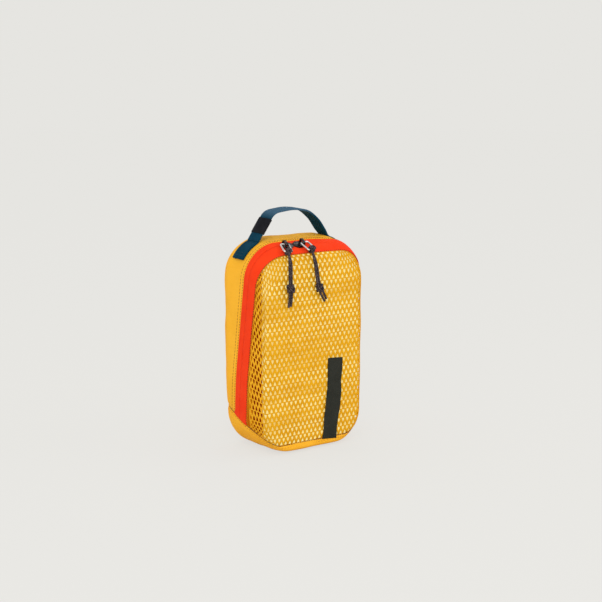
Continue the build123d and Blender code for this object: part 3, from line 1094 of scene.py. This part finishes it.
# %% Coils
COIL_PITCH = 1.7 * MM
WIRE_RADIUS, TOOTH_LENGTH = 0.42 * MM, 1.9 * MM
COIL_INSET, COIL_DEPTH = 1.1 * MM, TAPE_WALL + 0.45 * MM


def coil_tooth(bm):
    """One turn of the coil: a flattened bar across the tape's edge."""
    verts = bmesh.ops.create_cone(
        bm, cap_ends=True, segments=8, radius1=WIRE_RADIUS, radius2=WIRE_RADIUS,
        depth=TOOTH_LENGTH)["verts"]
    for v in verts:
        v.co = (v.co.x * 1.2, v.co.z, v.co.y * 1.1)
    return verts


def coil(name, side):
    """The coil under one tape's edge; side is 1 for the body's and -1 for the lid's."""
    line = seam_line(side * COIL_INSET, tape_relief, -COIL_DEPTH, COIL_PITCH, low=3 * MM)
    bm = bmesh.new()
    along_line(bm, *line, coil_tooth)
    return made(bm, name, orange_coil)


body_coil = coil("body_coil", 1)
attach(body_coil, "root")
lid_coil = coil("lid_coil", -1)
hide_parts("lid_zip_coil")
hang_on_lid(lid_coil)
print("coils", [len(o.data.polygons) for o in (body_coil, lid_coil)], "faces")

# %% [markdown]
# ## Stitches
# Seams on a bag like this are sewn from outside with rows of lock stitches. Each stitch is a
# short bead of thread that sits in the cloth. They are modelled, because a row of stitches
# catches the light as a dotted line.

# %% Stitches
STITCH_PITCH = 3.0 * MM


def stitch(thickness, length):
    """A maker of stitches of one size: a small ball, drawn out along the row."""
    def one(bm):
        verts = bmesh.ops.create_icosphere(bm, subdivisions=1, radius=1)["verts"]
        for v in verts:
            v.co = (v.co.x * length / 2, v.co.y * thickness / 2, v.co.z * thickness / 2)
        return verts
    return one


def sew_to(piece, body):
    """Attach a piece to its body; what is on the lid is only baked in place."""
    if body == "lid":
        hang_on_lid(piece)
    else:
        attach(piece, body)


def stitch_row(name, line, thread, body, thickness=0.42 * MM, length=2.3 * MM):
    """A row of stitches along a line of places and normals."""
    bm = bmesh.new()
    along_line(bm, *line, stitch(thickness, length))
    piece = made(bm, name, thread)
    sew_to(piece, body)
    return len(line[0]) - 1


ON_TOP = 0.05 * MM
# This row is in a darker tan and its stitches nearly touch: real stitches, darkened into a line
# as painted shade for the groove they sit in.
count = stitch_row(
    "gusset_stitches", seam_line(BODY_TAPE_WIDTH + 4.4 * MM, body_relief, ON_TOP, STITCH_PITCH),
    tan_thread, "root", thickness=0.5 * MM, length=2.7 * MM)
count += stitch_row(
    "edge_stitches", seam_line(BODY_TAPE_WIDTH + 0.5 * MM, body_relief, ON_TOP, 2.4 * MM),
    brown_thread, "root", thickness=0.6 * MM, length=1.8 * MM)
count += stitch_row(
    "lid_stitches", seam_line(-LID_TAPE_WIDTH - 0.1 * MM, tape_relief, -0.1 * MM, 2.2 * MM),
    brown_thread, "lid", thickness=0.6 * MM, length=1.3 * MM)
columns, _ = round_columns(STITCH_PITCH)
count += stitch_row(
    "back_stitches", around(columns, np.full(len(columns), 0.86), body_relief, ON_TOP),
    yellow_thread, "root")
# A close row of thick brown thread along the base seam makes one dark line: painted shade, for
# the shadow between the overlapping cloths.
count += stitch_row(
    "seam_shadow_line", base_line(0.1 * MM, body_relief, 0.1 * MM, 2.4 * MM),
    brown_thread, "root", thickness=0.8 * MM, length=3.0 * MM)
count += stitch_row(
    "base_stitches", base_line(-1.9 * MM, body_relief, ON_TOP, STITCH_PITCH),
    yellow_thread, "root")
print("stitches", count)

# %% [markdown]
# ## Piping and bindings
# The back seam is piped: a thin cord in a fold of cloth. A flat grid is rolled up round the
# seam's line and its edges are merged, which keeps the cloth's measure for the weave. Inside,
# each seam's raw edges are covered with a narrow woven tape, cut from another strip that lies
# a little deeper than the panels.

# %% Piping and bindings
PIPING_RADIUS, PIPING_SIDES = 0.95 * MM, 10
PIPING_LIFT = 0.45 * MM


def piping():
    """A round cord in cloth along the back seam: a grid rolled up and closed on itself."""
    columns, girth = round_columns(STEP)
    count = len(columns) - 1
    places, normals = around(columns[:-1], np.full(count, BACK_SEAM), body_relief, PIPING_LIFT)
    bm = flat_grid(count, PIPING_SIDES)
    keep_measure(bm, lambda p: ((p.x + 1) / 2 * girth, (p.y + 1) * math.pi * PIPING_RADIUS))
    for v in bm.verts:
        k, turn = round((v.co.x + 1) / 2 * count) % count, math.pi * (v.co.y + 1)
        run = Vector(places[(k + 1) % count]) - Vector(places[k - 1])
        out = Vector(normals[k]).normalized()
        side = run.cross(out).normalized()
        v.co = Vector(places[k]) + (
            out * math.cos(turn) + side * math.sin(turn)) * PIPING_RADIUS
    bmesh.ops.remove_doubles(bm, verts=bm.verts, dist=MERGE)
    return made(bm, "back_piping", yellow_cloth)


rear_piping = piping()
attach(rear_piping, "root")
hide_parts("rear_piping")

BINDING_WALL = 0.5 * MM
BINDING_SINK = -1.1 * MM


def binding(name, node, body, t_from, t_to, *planes):
    """A strip of tape inside the form, cut along the given planes."""
    bm = strip_mesh(t_from, t_to, body_relief, BINDING_SINK, step=2.6 * MM)
    for place, side in planes:
        cut(bm, place, side)
    piece = cloth(bm, name, yellow_tape, BINDING_WALL)
    sew_to(piece, body)
    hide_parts(node)


# Each binding has its depths t, and then the planes that bound it
binding("back_binding", "rear_seam_binding", "root", 1.05, 1.9)
binding("base_binding", "base_seam_binding", "root", 1.2, FRONT,
        (seam_foot - base_up * 7 * MM, base_up), (seam_foot - base_up * 0.6 * MM, -base_up))
binding("gusset_binding", "body_seam_binding", "root", 1.9, FRONT,
        (seam_foot + base_up * MM, base_up),
        (zip_place + zip_back * (BODY_TAPE_WIDTH + 1.0 * MM), zip_back),
        (zip_place + zip_back * (BODY_TAPE_WIDTH + 5.5 * MM), -zip_back))
binding("lid_binding", "lid_seam_binding", "lid", ZIP_FROM, FRONT,
        (seam_foot + base_up * MM, base_up),
        (zip_place - zip_back * (LID_TAPE_WIDTH - 5.5 * MM), -zip_back),
        (zip_place - zip_back * (LID_TAPE_WIDTH - 0.3 * MM), zip_back))
print("piping", round(2 * PIPING_RADIUS / MM, 1), "mm thick, and four bindings")

# %% [markdown]
# ## The handle
# The handle is one length of 16 mm webbing. Its ends are sewn flat on the shoulders of the body,
# and it rises between them as an arch. The arch is a line through a few corners, each rounded
# off as stiff webbing bends, and the webbing is a flat grid laid along that line.

# %% The line of the handle
webbing_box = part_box("handle_strap")
webbing_half = (webbing_box[1].y - webbing_box[0].y) / 2
webbing_y = (webbing_box[1].y + webbing_box[0].y) / 2
WEBBING_WALL = 1.5 * MM
SEAT_LEFT, SEAT_RIGHT = 0.9 * MM, 0.6 * MM


def on_shoulder(side, angle):
    """A point just over the body's shoulder; side is -1 for the left."""
    extra, seat = (LEFT_TOP_EXTRA, SEAT_LEFT) if side < 0 else (RIGHT_TOP_EXTRA, SEAT_RIGHT)
    radius, a = top_radius + extra, math.radians(angle)
    x = side * (half_width - radius + (radius + seat) * math.cos(a))
    z = height - radius + (radius + seat) * math.sin(a)
    drop = float(shoulder_drop((x, webbing_y, z))) * MM
    return x - side * drop * math.cos(a), z - drop * math.sin(a)


# Angles on the shoulders where each end is sewn and where it leaves, in degrees
left_foot, right_foot = on_shoulder(-1, 68), on_shoulder(1, 72)
arch_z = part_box("handle_strap")[1].z - 0.5 * MM
left_arc = [on_shoulder(-1, a) for a in (30, 36, 42, 48, 54, 60)]
right_arc = [on_shoulder(1, a) for a in (64, 56, 48, 40, 34, 28)]

# The arch's corners and their radii in millimetres
arch_corners = [
    (left_foot, 5), ((-19.5 * MM, arch_z - 2 * MM), 12), ((0, arch_z), 50),
    ((17.0 * MM, arch_z - 2.2 * MM), 25), ((28.5 * MM, arch_z - 12 * MM), 30), (right_foot, 5)]


def rounded(start, corners, end):
    """A line through the corners, each rounded off by its own radius in millimetres."""
    places = [Vector(start), *(Vector(c) for c, _ in corners), Vector(end)]
    line = []
    for k, (_, radius) in enumerate(corners, 1):
        before, here, after = places[k - 1:k + 2]
        way_in, way_out = (before - here), (after - here)
        half_turn = (math.pi - way_in.angle(way_out)) / 2
        back_off = min(radius * MM * math.tan(half_turn), 0.48 * way_in.length,
                       0.48 * way_out.length)
        a, c = here + way_in.normalized() * back_off, here + way_out.normalized() * back_off
        for f in (0, 0.25, 0.5, 0.75, 1):
            line.append(tuple(a * (1 - f) ** 2 + here * 2 * f * (1 - f) + c * f**2))
    return line


webbing_path = left_arc + rounded(left_arc[-1], arch_corners, right_arc[0]) + right_arc


def smooth_path(points, step):
    """A smooth line through the points, with places about step apart and the distance so far."""
    points = np.array([points[0], *points, points[-1]], float)
    out = [spline(*points[k:k + 4], f)
           for k in range(len(points) - 3) for f in np.linspace(0, 1, 24, endpoint=False)]
    out = np.array([*out, points[-2]])
    length = so_far(out)
    at = np.linspace(0, length[-1], int(length[-1] / step) + 1)
    return read_off(out, length, at), at


strap_line, strap_at = smooth_path(webbing_path, 1.5 * MM)
print("webbing", round(strap_at[-1] / MM), "mm long")

# %% [markdown]
# Each row of the grid follows the line, and its outer edge sags with the shoulder where the
# webbing is sewn down. The strap is thickened to both sides and its edges are rounded a little.
# It is baked in place and attached to neither the handle nor the body.

# %% Webbing
def webbing_piece(name, line, at, half, wall, finish):
    """A strap along a line in the handle's plane, thickened to both sides."""
    last = len(line) - 1
    bm = flat_grid(last, 8)
    keep_measure(bm, lambda p: (at[round((p.x + 1) / 2 * last)], p.y * half))
    run = np.gradient(line, axis=0)
    run /= np.linalg.norm(run, axis=1, keepdims=True)
    for v in bm.verts:
        k = round((v.co.x + 1) / 2 * last)
        (x, z), out = line[k], Vector((-run[k][1], 0, run[k][0]))
        place = Vector((x, webbing_y, z)) + Vector((0, v.co.y * half, 0))
        sags = float(shoulder_drop(place) - shoulder_drop((place.x, webbing_y, place.z)))
        sewn = min(max((height + 4 * MM - place.z) / (4 * MM), 0), 1)
        v.co = place - out * sags * sewn * MM
    piece = as_object(bm, name, finish)
    add_wall(piece, wall, 0)
    edge = piece.modifiers.new("edge", "BEVEL")
    edge.width, edge.segments, edge.limit_method = 0.35 * MM, 2, "ANGLE"
    return piece


strap = webbing_piece("handle_webbing", strap_line, strap_at, webbing_half, WEBBING_WALL,
                      navy_webbing)
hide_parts("handle_strap", "handle_end_left", "handle_end_right",
            "handle_fold_left", "handle_fold_right")
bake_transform(strap)

# %% [markdown]
# Each end is sewn down with three rows of stitches across the webbing: two at its end, and one
# where it leaves the shoulder.

# %% Stitches across the webbing
TACK_REACH, TACK_PITCH = 6.3 * MM, 2.1 * MM
TACK_ROWS = (2.5 * MM, 5 * MM, 17 * MM)


def tack(side, from_end):
    """Places and normals across the webbing, some way in from one of its ends."""
    at = from_end if side < 0 else strap_at[-1] - from_end
    k = min(int(np.searchsorted(strap_at, at)), len(strap_line) - 2)
    (x, z), run = strap_line[k], strap_line[k + 1] - strap_line[k]
    out = Vector((-run[1], 0, run[0])).normalized()
    lift = out * (WEBBING_WALL / 2 + ON_TOP)
    y = np.arange(-TACK_REACH, TACK_REACH + 0.1 * MM, TACK_PITCH) + webbing_y
    return (np.array([Vector((x, each, z)) + lift for each in y]),
            np.array([out] * len(y)))


for side, name in ((-1, "left"), (1, "right")):
    for row, from_end in enumerate(TACK_ROWS):
        stitch_row(f"{name}_tack_{row}", tack(side, from_end), navy_thread, "root",
                   length=1.7 * MM)
print("rows across the webbing", 2 * len(TACK_ROWS))

# %% [markdown]
# A woven label is sewn round the handle's left leg as a sleeve. It is the same kind of strap,
# a little wider and thicker than the webbing, along a short stretch of the same line. It is
# left bare.

# %% Bare label round the left leg
LABEL_OVER = 0.55 * MM
wrap_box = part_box("handle_wrap")
wrap_low, wrap_high = wrap_box[0].z + 0.8 * MM, wrap_box[1].z - 1.2 * MM
in_wrap = [k for k, (x, z) in enumerate(strap_line) if x < 0 and wrap_low < z < wrap_high]
stretch = slice(in_wrap[0], in_wrap[-1] + 1)
wrap = webbing_piece(
    "handle_label", strap_line[stretch], strap_at[stretch] - strap_at[in_wrap[0]],
    webbing_half + LABEL_OVER, WEBBING_WALL + 2 * LABEL_OVER, black_wrap)
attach(wrap, "handle")
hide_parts("handle_wrap")
print("label round the leg", round((wrap_high - wrap_low) / MM, 1), "mm high")

# %% [markdown]
# ## The front label
# A strip of woven label hangs on the mesh. Its foot is caught in the base seam and its top is
# sewn to the mesh, so it waves a little between. It is left bare.

# %% Front label
label_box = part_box("front_label")
LABEL_TILT = math.radians(4.5)
LABEL_LIFT, LABEL_WALL = 0.75 * MM, 0.45 * MM
label_length = 73.5 * MM
label_width = 15.6 * MM
label_x = (label_box[0].x + label_box[1].x) / 2
label_z = (label_box[0].z + label_box[1].z) / 2 - 1.2 * MM


def front_label():
    """A strip of label laid on the mesh, with a slight bow, a flared edge and soft waves."""
    bm = flat_grid(10, 44)
    keep_measure(bm, lambda p: (p.y * label_length / 2, p.x * label_width / 2))
    a, b = flat_places(bm)
    bow = 0.35 * MM * np.sin(b * 4.2 + 0.6)
    flare = 0.8 * MM * np.sin(b * 5 + 2.6) * np.clip(a, 0, 1) * (1 - b**6)
    across, up = a * label_width / 2 + bow + flare, b * label_length / 2
    p = label_x + across * math.cos(LABEL_TILT) + up * math.sin(LABEL_TILT)
    q = label_z - across * math.sin(LABEL_TILT) + up * math.cos(LABEL_TILT)
    wave = (0.55 * np.sin(b * 7.5) + 0.3 * np.sin(b * 3 + a * 1.5)) * MM
    lift = LABEL_LIFT + np.abs(wave) * (1 - b**4)
    move_to(bm, sheet_places(p, q, True, mesh_relief, lift))
    return cloth(bm, "front_label_cloth", charcoal_label, LABEL_WALL)


label = front_label()
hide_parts("front_label")
hang_on_lid(label)
print("label", round(label_width / MM, 1), "by", round(label_length / MM, 1), "mm")

# %% [markdown]
# ## Sliders, loops and cords
# The sliders and the wire loops are hard, so they keep their solids and get plated metal: dark
# where it is whole and brighter where it rubs.

# %% Metal parts
def refinish(node, finish):
    """Give a solid of the frame another finish."""
    piece = bpy.data.objects[node]
    piece.data.materials.clear()
    piece.data.materials.append(finish)


for side in ("left", "right"):
    refinish(f"{side}_slider", gunmetal)
    refinish(f"{side}_puller", bright_wire)
print("sliders and loops keep their solids")

# %% [markdown]
# Each loop carries a cord, folded over it so that two strands hang side by side to a knot. A
# cord is one smooth line that hangs under its own weight, so each strand is a NURBS curve with
# a round bevel and a few control points, in millimetres. The braid is in its finish.

# %% Cords
CORD_DIAMETER = 2 * MM
SIDEWAYS = (0.5, -0.35)
cord_routes = {
    "left_cord_front": [
        (-24.3, -25.75, 174.9), (-24.4, -23.15, 178.4), (-26.3, -26.65, 181.0),
        (-27.2, -31.3, 173.4), (-30.0, -35.0, 163.0), (-30.4, -35.6, 152.5),
        (-29.9, -35.2, 141.8), (-30.7, -34.2, 131.3)],
    "left_cord_back": [
        (-24.3, -25.75, 174.9), (-25.2, -29.9, 169.2), (-27.6, -33.6, 159.5),
        (-28.4, -35.0, 149.5), (-27.6, -34.9, 140.0), (-28.4, -34.0, 131.9)],
    "right_cord_front": [
        (0.35, -25.75, 174.9), (0.3, -23.15, 178.4), (-1.7, -26.65, 181.0),
        (-2.2, -31.3, 173.4), (-2.8, -35.0, 163.0), (-2.0, -35.6, 152.5),
        (0.9, -35.2, 141.8), (7.1, -34.4, 132.9)],
    "right_cord_back": [
        (0.35, -25.75, 174.9), (0.2, -29.9, 169.2), (-0.1, -33.6, 159.5),
        (0.6, -35.0, 149.5), (4.6, -34.9, 141.8), (9.0, -34.1, 134.8)],
}


def abreast(points, share):
    """The same route, eased sideways below its loop so that two strands lie side by side."""
    moved = [points[0]]
    for k, (x, y, z) in enumerate(points[1:]):
        ease = share * (1 - k / (len(points) - 2))
        moved.append((x + SIDEWAYS[0] * ease, y + SIDEWAYS[1] * ease, z))
    return moved


def cord_curve(name, points, radius):
    """A round cord as a smooth NURBS curve with the points as its control points."""
    curve = bpy.data.curves.new(name, "CURVE")
    curve.dimensions = "3D"
    curve.resolution_u = 10
    curve.bevel_depth = radius
    curve.bevel_resolution = 4
    curve.use_fill_caps = True
    line = curve.splines.new("NURBS")
    line.points.add(len(points) - 1)
    for point, place in zip(line.points, points):
        point.co = (*(c * MM for c in place), 1)
    line.order_u = 3
    line.use_endpoint_u = True
    curve.materials.append(flecked_cord)
    piece = bpy.data.objects.new(name, curve)
    bpy.context.scene.collection.objects.link(piece)
    return piece


def line_length(piece):
    """Length of a curve's own line."""
    bare = piece.data.copy()
    bare.bevel_depth = 0
    probe = bpy.data.objects.new("probe", bare)
    mesh = bpy.data.meshes.new_from_object(probe)
    total = sum((mesh.vertices[a].co - mesh.vertices[b].co).length
                for a, b in (e.vertices for e in mesh.edges))
    bpy.data.objects.remove(probe)
    return total


print("strands", len(cord_routes))

# %% [markdown]
# The knot is an overhand knot tied in both strands at once. Two turns of cord go round the
# standing strands, one over the other, and the strands come out at its foot. Where the cord
# crosses the loop, three turns hide the fold. Both are closed formulas for a line, which the
# same NURBS curve follows.

# %% Lines of the knots
KNOT_STEPS, HITCH_STEPS, HITCH_TURNS = 48, 54, 3
HITCH_RADIUS, HITCH_WIDTH = 2.2, 4.1  # in millimetres


def knot_line(centre):
    """A closed line that winds twice round the strands and crosses itself three times."""
    points = []
    for k in range(KNOT_STEPS):
        a = 2 * math.pi * k / KNOT_STEPS
        reach = 2.35 + 0.6 * math.cos(3 * a)
        points.append((
            centre.x + 1.08 * reach * math.cos(2 * a) * MM,
            centre.y + 0.9 * reach * math.sin(2 * a) * MM,
            centre.z + 2.9 * math.sin(3 * a) * MM))
    return points


def hitch_line(bar_centre, bar_way):
    """A line that winds round the loop's lower bar."""
    way = Vector(bar_way).normalized()
    out = way.cross(Vector((0, 0, 1))).normalized()
    up = way.cross(out)
    points = []
    for k in range(HITCH_STEPS + 1):
        f = k / HITCH_STEPS
        a = 2 * math.pi * HITCH_TURNS * f
        place = (Vector(bar_centre) + way * (f - 0.5) * HITCH_WIDTH
                 + (out * math.cos(a) + up * math.sin(a)) * HITCH_RADIUS)
        points.append(tuple(place * MM))
    return points


def wound(name, points, closed):
    """Cord wound along the points, as a mesh."""
    piece = cord_curve(name, [tuple(c / MM for c in p) for p in points], CORD_DIAMETER / 2)
    if closed:
        piece.data.splines[0].use_endpoint_u = False
        piece.data.splines[0].use_cyclic_u = True
    mesh = bpy.data.meshes.new_from_object(piece)
    bpy.data.objects.remove(piece)
    solid = bpy.data.objects.new(name, mesh)
    bpy.context.scene.collection.objects.link(solid)
    return solid


print("a hitch takes", round(HITCH_TURNS * 2 * math.pi * HITCH_RADIUS), "mm of cord")

# %% [markdown]
# Each strand is measured along its own line.

# %% Knots and strands
STRAND_SHARE = 0.8

# Centre and direction of each loop's lower bar, in millimetres
bars = {
    "left": ((-25.315, -26.08, 177.909), (0.978, -0.180, -0.104)),
    "right": ((-0.685, -26.08, 177.909), (0.978, 0.180, 0.104)),
}
for side in ("left", "right"):
    low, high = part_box(f"{side}_knot")
    tied = wound(f"{side}_knot_turns", knot_line((low + high) / 2), True)
    hitch = wound(f"{side}_hitch", hitch_line(*bars[side]), False)
    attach(hitch, f"{side}_pull")
    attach(tied, f"{side}_pull")
    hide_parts(f"{side}_knot")
    for strand in ("front", "back"):
        node = f"{side}_cord_{strand}"
        share = -STRAND_SHARE if strand == "front" else STRAND_SHARE
        route = abreast(cord_routes[node], share)
        piece = cord_curve(f"{node}_braid", route, CORD_DIAMETER / 2)
        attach(piece, f"{side}_pull")
        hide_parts(node)
        line_length(piece)
        print(node, round(line_length(piece) / MM, 1), "mm")

# %% [markdown]
# ## Stuffing
# The cube stands stuffed with clothes. Only their front shows, through the holes of the mesh,
# so one pale folded sheet close behind the mesh stands for them. It belongs to the scene and
# not to the cube. Part of its colour is given off as light, because the light that real cloth
# gets through hundreds of small holes would take very many samples to find.

# %% Stuffing
BEHIND_MESH = 1.9 * MM
ROLL_HEIGHT = 27 * MM
CREASE, RUMPLE = 1.5, 0.3


def folds(points):
    """Relief of folded cloth: soft rolls one above another, with creases between."""
    points = np.asarray(points)
    level = points[:, 2] + 9 * MM * ripple(points, 50 * MM, 31) + points[:, 0] * 0.06
    rolls = np.abs(np.sin(level * math.pi / ROLL_HEIGHT)) ** 0.5
    rumples = RUMPLE * ripple(points, 20 * MM, 21)
    return (rumples - CREASE * (1 - rolls) - shoulder_drop(points)) * MM


def stuffing():
    """A sheet of folded cloth, close in behind the mesh."""
    bm = flat_sheet(half_width + 20 * MM, 4 * MM, height + 6 * MM, 3.0 * MM)
    lay(bm, True, folds, -BEHIND_MESH)
    cut(bm, zip_place - zip_back * (LID_TAPE_WIDTH - 6 * MM), -zip_back)
    cut(bm, seam_foot - base_up * (3 * MM), base_up)
    return made(bm, "stuffing", stuffing_finish())


def stuffing_finish():
    """White cloth, yellow in the mesh's light, with painted shade down its left side."""
    f = Finish("stuffing", 0.9, Specular_IOR_Level=0.0)
    x, y, z = f.parts(f.place())
    streaks = f.noise(f.node("ShaderNodeCombineXYZ", {}, x * 14, y * 14, z * 62), 1.0, 3.0)
    lit = f.colour(streaks.ramp(0.42, 0.62), (0.99, 0.87, 0.36), (0.92, 0.67, 0.18))
    # The dark red-brown down the left side is painted shade, for the cube's shaded inside.
    shown = f.colour(f.past_left_edge(0.6 * MM), (0.24, 0.014, 0.001), lit)
    # Most of the colour is given off as a painted glow, though the sheet is no lamp.
    f.base(f.colour(0.6, shown, (0, 0, 0)))
    f.feed(f.shader.inputs["Emission Color"], shown)
    f.feed(f.shader.inputs["Emission Strength"], 0.66)
    return f.material


filling = stuffing()
print("stuffing", len(filling.data.polygons), "faces")

# %% [markdown]
# ## Floor and backdrop
# The cube stands on a pale floor that runs into the backdrop with no edge. A lit floor would
# be darker far away than near, so to the camera it mostly gives off its own colour, and a
# small share of it is shaded, which keeps the soft shadow under the cube.

# %% Floor and backdrop
FLOOR_COLOUR = (0.791, 0.783, 0.753)
OWN_COLOUR = 0.86


def floor_finish():
    """A pale floor that shows its own colour to the camera and keeps the cube's shadow."""
    f = Finish("floor", 1.0, Specular_IOR_Level=0.0)
    f.base(FLOOR_COLOUR)
    glow = f.node("ShaderNodeEmission", {}, FLOOR_COLOUR)
    shaded = Value(f, f.shader.outputs[0])
    shown = f.node("ShaderNodeMixShader", {}, f.seen_directly() * OWN_COLOUR, shaded, glow)
    f.feed(f.tree.nodes["Material Output"].inputs["Surface"], shown)
    return f.material


def floor_disc():
    """A wide disc, a hair below the cube."""
    bm = bmesh.new()
    bmesh.ops.create_circle(bm, cap_ends=True, segments=96, radius=4)
    bmesh.ops.translate(bm, verts=bm.verts, vec=(0, 0, -0.1 * MM))
    return made(bm, "floor", floor_finish(), smooth=False)


floor = floor_disc()
print("floor", round(2 * floor.data.vertices[0].co.length), "m across")

# %% [markdown]
# ## Light
# The bag is lit softly from all round, with a large lamp on its left as the key and a weaker
# one on its right. The camera sees the backdrop's colour instead of that sky, by the same
# question to the light path as on the floor.

# %% Light
SKY_STRENGTH = 0.98
world = bpy.data.worlds.new("soft")
bpy.context.scene.world = world
world.use_nodes = True
air = Nodes(world.node_tree)
plain = air.tree.nodes["Background"]
air.feed(plain.inputs["Color"], (1, 1, 1))
air.feed(plain.inputs["Strength"], SKY_STRENGTH)
sky = Value(air, plain.outputs[0])
backdrop = air.node("ShaderNodeBackground", {}, FLOOR_COLOUR)
shown = air.node("ShaderNodeMixShader", {}, air.seen_directly(), sky, backdrop)
air.feed(air.tree.nodes["World Output"].inputs["Surface"], shown)


def lamp(name, place, aim, size, power):
    """A round soft lamp at a place, turned to what it lights."""
    light = bpy.data.lights.new(name, "AREA")
    light.shape, light.size, light.energy = "DISK", size, power
    piece = bpy.data.objects.new(name, light)
    piece.location = place
    piece.rotation_euler = (Vector(aim) - Vector(place)).to_track_quat("-Z", "Y").to_euler()
    bpy.context.scene.collection.objects.link(piece)


middle = (0, 0, height / 2)
lamp("key", (-0.75, -1.0, 1.0), middle, 0.9, 6.2)
lamp("fill", (1.0, -0.8, 0.6), middle, 1.0, 3.0)

# %% [markdown]
# ## Camera
# The camera looks at the bag from its front left, a little from above, through a long lens,
# which keeps the upright edges nearly parallel. Shifting the lens moves the bag in the frame
# without turning the camera.

# %% Camera
CAMERA_TURN, CAMERA_RISE = math.radians(-35.2), math.radians(12.42)
CAMERA_REACH = 1.2483
SENSOR, LENS = 36, 84.2
SHIFT_X, SHIFT_Y = 0.010, 0.0613
aim = Vector((0, 0, 0.095))
back_to_camera = Vector((
    math.sin(CAMERA_TURN) * math.cos(CAMERA_RISE), -math.cos(CAMERA_TURN) * math.cos(CAMERA_RISE),
    math.sin(CAMERA_RISE)))
camera = bpy.data.objects.new("camera", bpy.data.cameras.new("camera"))
bpy.context.scene.collection.objects.link(camera)
camera.location = aim + back_to_camera * CAMERA_REACH
camera.rotation_euler = (-back_to_camera).to_track_quat("-Z", "Y").to_euler()
camera.data.sensor_width, camera.data.lens = SENSOR, LENS
camera.data.shift_x, camera.data.shift_y = SHIFT_X, SHIFT_Y
bpy.context.scene.camera = camera
bpy.context.scene.view_settings.view_transform = "Standard"
print("camera at", [round(c, 3) for c in camera.location])

# %% [markdown]
# ## The end
# The view layer is brought up to date once more, so that every piece stands where it was put.

# %% The end
bpy.context.view_layer.update()
